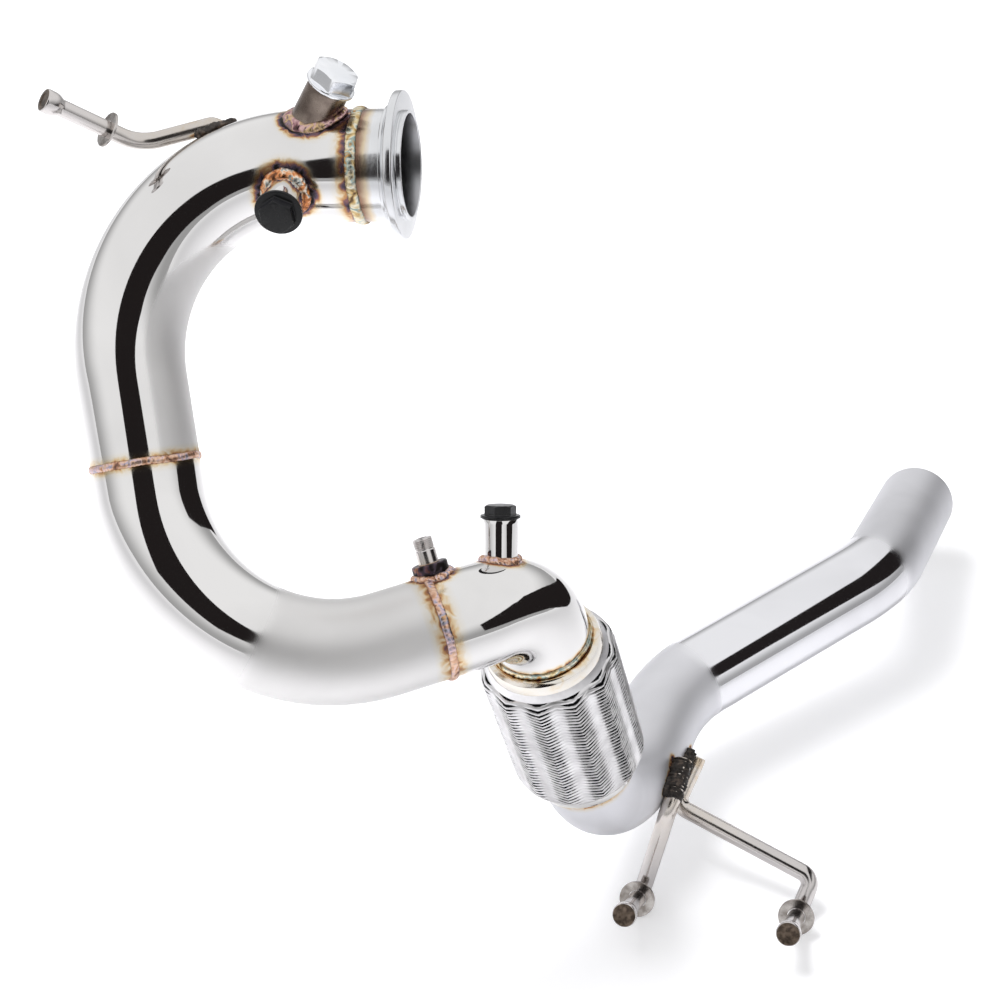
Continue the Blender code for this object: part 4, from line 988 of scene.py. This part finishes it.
def add_nipple():
    """Boss and pipe with a real helical thread at its end and an open bore."""
    sides, steps = 60, 52
    radius, root, bore = 6.3 * MM, 5.75 * MM, 3.2 * MM
    boss_top = TUBE_RADIUS + 7.2 * MM
    top = boss_top + 15.8 * MM
    pitch, thread_length = 1.1 * MM, 6.5 * MM
    run_in, run_out = 0.8 * MM, 0.4 * MM
    soft = 0.3 * MM
    boss_tint, boss_rings = 0.85, slice(-7, -2)
    rings = [NIPPLE.ring(bore + soft, top, sides), NIPPLE.ring(root - 0.4 * MM, top, sides)]
    for k in range(steps + 1):
        run = thread_length * k / steps
        depth = min(1.0, run / run_in, (thread_length - run) / run_out)
        ring = []
        for angle in turns(sides):
            phase = (run / pitch + angle / math.tau) % 1.0
            crest = 1.0 - abs(2.0 * phase - 1.0)
            ring.append(NIPPLE.point(root + (radius - root) * crest * depth, angle, top - 0.15 * MM - run))
        rings.append(as_array(ring))
    low = top - thread_length - 0.6 * MM
    rings += [NIPPLE.ring(size, level, sides) for size, level in
              ((root, low), (radius, low - 0.7 * MM), (radius, boss_top + 0.4 * MM),
               (radius + 0.4 * MM, boss_top), (BOSS - 1.0 * MM, boss_top), (BOSS - soft, boss_top - soft),
               (BOSS, boss_top - 1.0 * MM))]
    rings += [NIPPLE.foot_ring(BOSS, -FOOT_DEPTH, sides), NIPPLE.foot_ring(bore, -FOOT_DEPTH, sides),
              NIPPLE.ring(bore, top - soft, sides)]
    tint = heat_at(np.concatenate(rings)).reshape(len(rings), sides)
    tint[boss_rings] = boss_tint
    obj = grid_object("pressure_nipple", rings, [satin], attributes={"tint": tint}, sharp=32.0)
    add_piece(obj, "pressure_nipple")


add_nipple()


# Flexible section

COLLAR_LENGTH = 10.8 * MM
CUFF = TUBE_RADIUS + GAP * 2 + 1.4 * MM
BRAID_END = CUFF + 0.9 * MM
BRAID_TOP = 45.0 * MM
BRAID_WALL = 1.7 * MM
BRAID_TUCK = 2.6 * MM


def add_collar(node, station, reverse, least_tint):
    """Turned collar: a lip, a rounded body and a groove between them."""
    point, heading, side = ROUTE.frame(station)
    wall = 1.6 * MM
    radius = BRAID_END + 1.9 * MM + wall
    profile = [(COLLAR_LENGTH, radius - 0.5 * MM), (COLLAR_LENGTH - 0.15 * MM, radius - 0.15 * MM),
               (COLLAR_LENGTH - 0.5 * MM, radius)]
    for share in (0.85 * k / 9 for k in range(1, 10)):
        profile.append((COLLAR_LENGTH * (1 - share), radius - 2.4 * MM * (1 - math.sqrt(1 - share * share))))
    lip, groove = TUBE_RADIUS + 0.35 * MM, 2.3 * MM
    profile += [(1.0 * MM, lip + 2.2 * MM), (0.5 * MM, lip + 1.6 * MM), (0.0, lip + 1.2 * MM), (0.0, lip),
                (groove, lip), (groove, radius - wall), (COLLAR_LENGTH, radius - wall)]
    obj = lathe(node, point, -heading if reverse else heading, profile, 128, [polished], hint=side)
    tint_vertices(obj, least_tint)
    add_piece(obj, node)


def add_braid():
    """Woven sleeve of strips that meet in chevrons, with sunk slits between the strips, which the material
    paints near-black as shade.
    """
    point, heading, side = ROUTE.frame(FLEX_START)
    other = heading.cross(side)
    chevrons, per_chevron = 12, 20
    columns = chevrons * per_chevron
    low = COLLAR_LENGTH + 0.2 * MM
    high = FLEX_LENGTH - low
    shoulder, margin, brown_reach = 10.0 * MM, 9 * MM, 8 * MM
    strip_pitch, per_strip, chevron_rise = 3.1 * MM, 6, 2.9 * MM
    point_width, point_edge, slit_width = 0.60, 0.13, 0.16
    crown_height, slit_depth, flat_crown, least_fade = 0.22 * MM, 0.75 * MM, 0.08, 0.25
    end_radius = BRAID_END + 1.0 * MM
    count = round((high - low) / strip_pitch) * per_strip

    def plain_ring(place, radius):
        return circle(point + heading * place, side, other, radius, columns)

    def radius_at(place):
        gap = min(place - low, high - place)
        if gap >= shoulder:
            return BRAID_TOP
        return end_radius + (BRAID_TOP - end_radius) * dome(1.0 - gap / shoulder)

    rings = [plain_ring(BRAID_TUCK, end_radius)]
    values = [(0.0, 0.0, 0.0)] * columns
    for row in range(count + 1):
        base = low + (high - low) * row / count
        phase = (row % per_strip) / per_strip
        fade = min(1.0, (base - low) / margin, (high - base) / margin)
        ring = []
        for column, angle in enumerate(turns(columns)):
            off = abs((column % per_chevron) / per_chevron * 2.0 - 1.0)
            place = base + chevron_rise * (1.0 - 2.0 * off) * max(0.0, fade)
            place = min(max(place, low), high)
            openness = 1.0 / (1.0 + math.exp((off - point_width) / point_edge))
            slit = openness * math.exp(-((phase - 0.5) / slit_width) ** 2)
            crown = crown_height * math.cos(math.tau * phase) * (flat_crown + openness)
            radius = radius_at(place) + (crown - slit_depth * slit) * max(least_fade, fade)
            ring.append(point + heading * place + spoke(side, other, angle) * radius)
            values.append((openness * (1.0 if place < low + margin else 0.85), row / per_strip,
                           max(0.0, 1.0 - (high - place) / brown_reach) * 0.95))
        rings.append(as_array(ring))
    inner = BRAID_TOP - BRAID_WALL
    last_rings = ((FLEX_LENGTH - BRAID_TUCK, end_radius), (FLEX_LENGTH - BRAID_TUCK, BRAID_END),
                  (high - shoulder * 0.6, inner), (low + shoulder * 0.6, inner), (BRAID_TUCK, BRAID_END))
    rings += [plain_ring(place, radius) for place, radius in last_rings]
    values += [(0.0, 0.0, 0.0)] * (len(last_rings) * columns)
    dips, strands, tints = zip(*values)
    obj = grid_object("flex_braid", rings, [wire], sharp=70.0,
                      attributes={"dip": dips, "strand": strands, "tint": tints})
    add_piece(obj, "flex_braid")


add_collar("flex_inlet_collar", FLEX_START, False, 0.18)
add_collar("flex_outlet_collar", FLEX_END, True, 0.0)
add_braid()

for name in ("flex_bellows", "flex_liner"):
    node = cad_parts[name]
    node.data.materials.clear()
    node.data.materials.append(plain_steel)


# Camera, as the photograph was taken
CAMERA_PLACE = Vector((0.218819, -0.958994, 0.480403))
CAMERA_RIGHT = Vector((0.98788645, 0.1330236, -0.07990674))
CAMERA_DOWN = Vector((0.01540641, -0.59646661, -0.80249001))
CAMERA_AHEAD = Vector((-0.15441181, 0.79153793, -0.5912907))
camera_data = bpy.data.cameras.new("camera")
camera_data.sensor_width = 36.0
camera_data.lens = 68.4
camera = add_object("camera", camera_data)
camera.matrix_world = (Matrix.Translation(CAMERA_PLACE)
                       @ Matrix((CAMERA_RIGHT, -CAMERA_DOWN, -CAMERA_AHEAD)).transposed().to_4x4())
bpy.context.scene.camera = camera

# Floor, tilted as the table lies under the pipe, and dark cards that the polished steel mirrors
TABLE_UP = Vector((0.0806, 0.0, 0.99674)).normalized()
FLOOR_REACH = 6
RIGHT_CARD_PLACE = 0.62
CAMERA_CARD_PLACE = -1.02
LOWEST = min(vertex.co.dot(TABLE_UP) for piece in PIECES for vertex in piece.data.vertices) - 0.5 * MM
RIGHT_CARD = ((-0.54, -0.22), (-0.54, -0.02), (0.0, 0.04), (0.3, -0.07), (0.9, -0.35), (1.4, -0.55),
              (1.4, -0.62), (0.6, -0.5), (0.25, -0.41), (0.0, -0.30))
CAMERA_CARD = ((-0.38, 0.06), (0.0, 0.0), (0.30, 0.10), (0.52, 0.35), (0.55, 1.2), (-0.38, 1.2))


def add_stage_plane(name, centre, first, second, outline, material):
    mesh = bpy.data.meshes.new(name)
    corners = [tuple(centre + first * a + second * b) for a, b in outline]
    mesh.from_pydata(corners, [], [tuple(range(len(outline)))])
    mesh.materials.append(material)
    obj = add_object(name, mesh)
    return obj


def floor_material():
    """White to the camera and paler to mirrors, brighter far away, and it keeps the object's shadow."""
    net = Finish("pale_floor", 0.0, 0.9, (0.82, 0.82, 0.84))
    net.set("Specular IOR Level", 0.0)
    rays = net.node("ShaderNodeLightPath").outputs
    seen = net.math("MAXIMUM", rays["Is Camera Ray"], net.math("MULTIPLY", rays["Is Glossy Ray"], 0.35))
    length = net.node("ShaderNodeVectorMath", operation="LENGTH")
    net.link(net.position(), length.inputs[0])
    past_one = net.math("SUBTRACT", length.outputs["Value"], 1.0)
    glow = net.math("ADD", net.math("MULTIPLY", past_one, 0.3, clamp=True), 0.36)
    net.set("Emission Color", (1.0, 1.0, 1.0))
    net.set("Emission Strength", net.math("MULTIPLY", seen, glow))
    return net.material


def card_material():
    net = Finish("dark_card", 0.0, 1.0, (0.0, 0.0, 0.0))
    net.set("Specular IOR Level", 0.0)
    net.set("Emission Color", (0.017, 0.014, 0.014))
    net.set("Emission Strength", 1.0)
    return net.material


floor_outline = [(FLOOR_REACH * a, FLOOR_REACH * b) for a, b in ((-1, -1), (1, -1), (1, 1), (-1, 1))]
add_stage_plane("floor", TABLE_UP * LOWEST, *across(TABLE_UP, X_AXIS), floor_outline, floor_material())
card_black = card_material()
right_card = add_stage_plane("right_card", X_AXIS * RIGHT_CARD_PLACE, Y_AXIS, Z_AXIS, RIGHT_CARD, card_black)
camera_card = add_stage_plane("camera_card", Y_AXIS * CAMERA_CARD_PLACE, X_AXIS, Z_AXIS, CAMERA_CARD,
                              card_black)
for card in (right_card, camera_card):
    card.visible_camera = False
    card.visible_diffuse = False
    card.visible_shadow = False


# Plain studio light
LAMP_PLACE = Vector((-0.34, -0.02, 1.0))
LAMP_AIM = Vector((0.15, 0.1, -0.45))


def studio_world():
    """White to the camera, a gradient that is darker at the horizon to mirrors, and even to all else."""
    world = bpy.data.worlds.new("studio")
    net = Nodes(world)
    rays = net.node("ShaderNodeLightPath").outputs
    split = net.node("ShaderNodeSeparateXYZ")
    net.link(net.node("ShaderNodeTexCoord").outputs["Generated"], split.inputs[0])
    gradient = net.node("ShaderNodeMapRange", interpolation_type="SMOOTHSTEP")
    for name, value in (("From Min", -0.02), ("From Max", 0.42), ("To Min", 0.42), ("To Max", 0.98),
                        ("Value", split.outputs["Z"])):
        net.feed(gradient.inputs[name], value)
    unseen = net.mix_numbers(rays["Is Glossy Ray"], 0.58, gradient.outputs[0])
    background = net.tree.nodes["Background"]
    net.feed(background.inputs["Color"], (1.0, 1.0, 1.0))
    net.feed(background.inputs["Strength"], net.mix_numbers(rays["Is Camera Ray"], unseen, 1.0))
    return world


bpy.context.scene.world = studio_world()
lamp_data = bpy.data.lights.new("softbox", "AREA")
lamp_data.energy = 27.0
lamp_data.size = 0.7
lamp = add_object("softbox", lamp_data)
lamp.location = LAMP_PLACE
lamp.rotation_mode = "QUATERNION"
lamp.rotation_quaternion = (LAMP_AIM - lamp.location).to_track_quat("-Z", "Y")
lamp.visible_glossy = False
bpy.context.scene.view_settings.view_transform = "Standard"
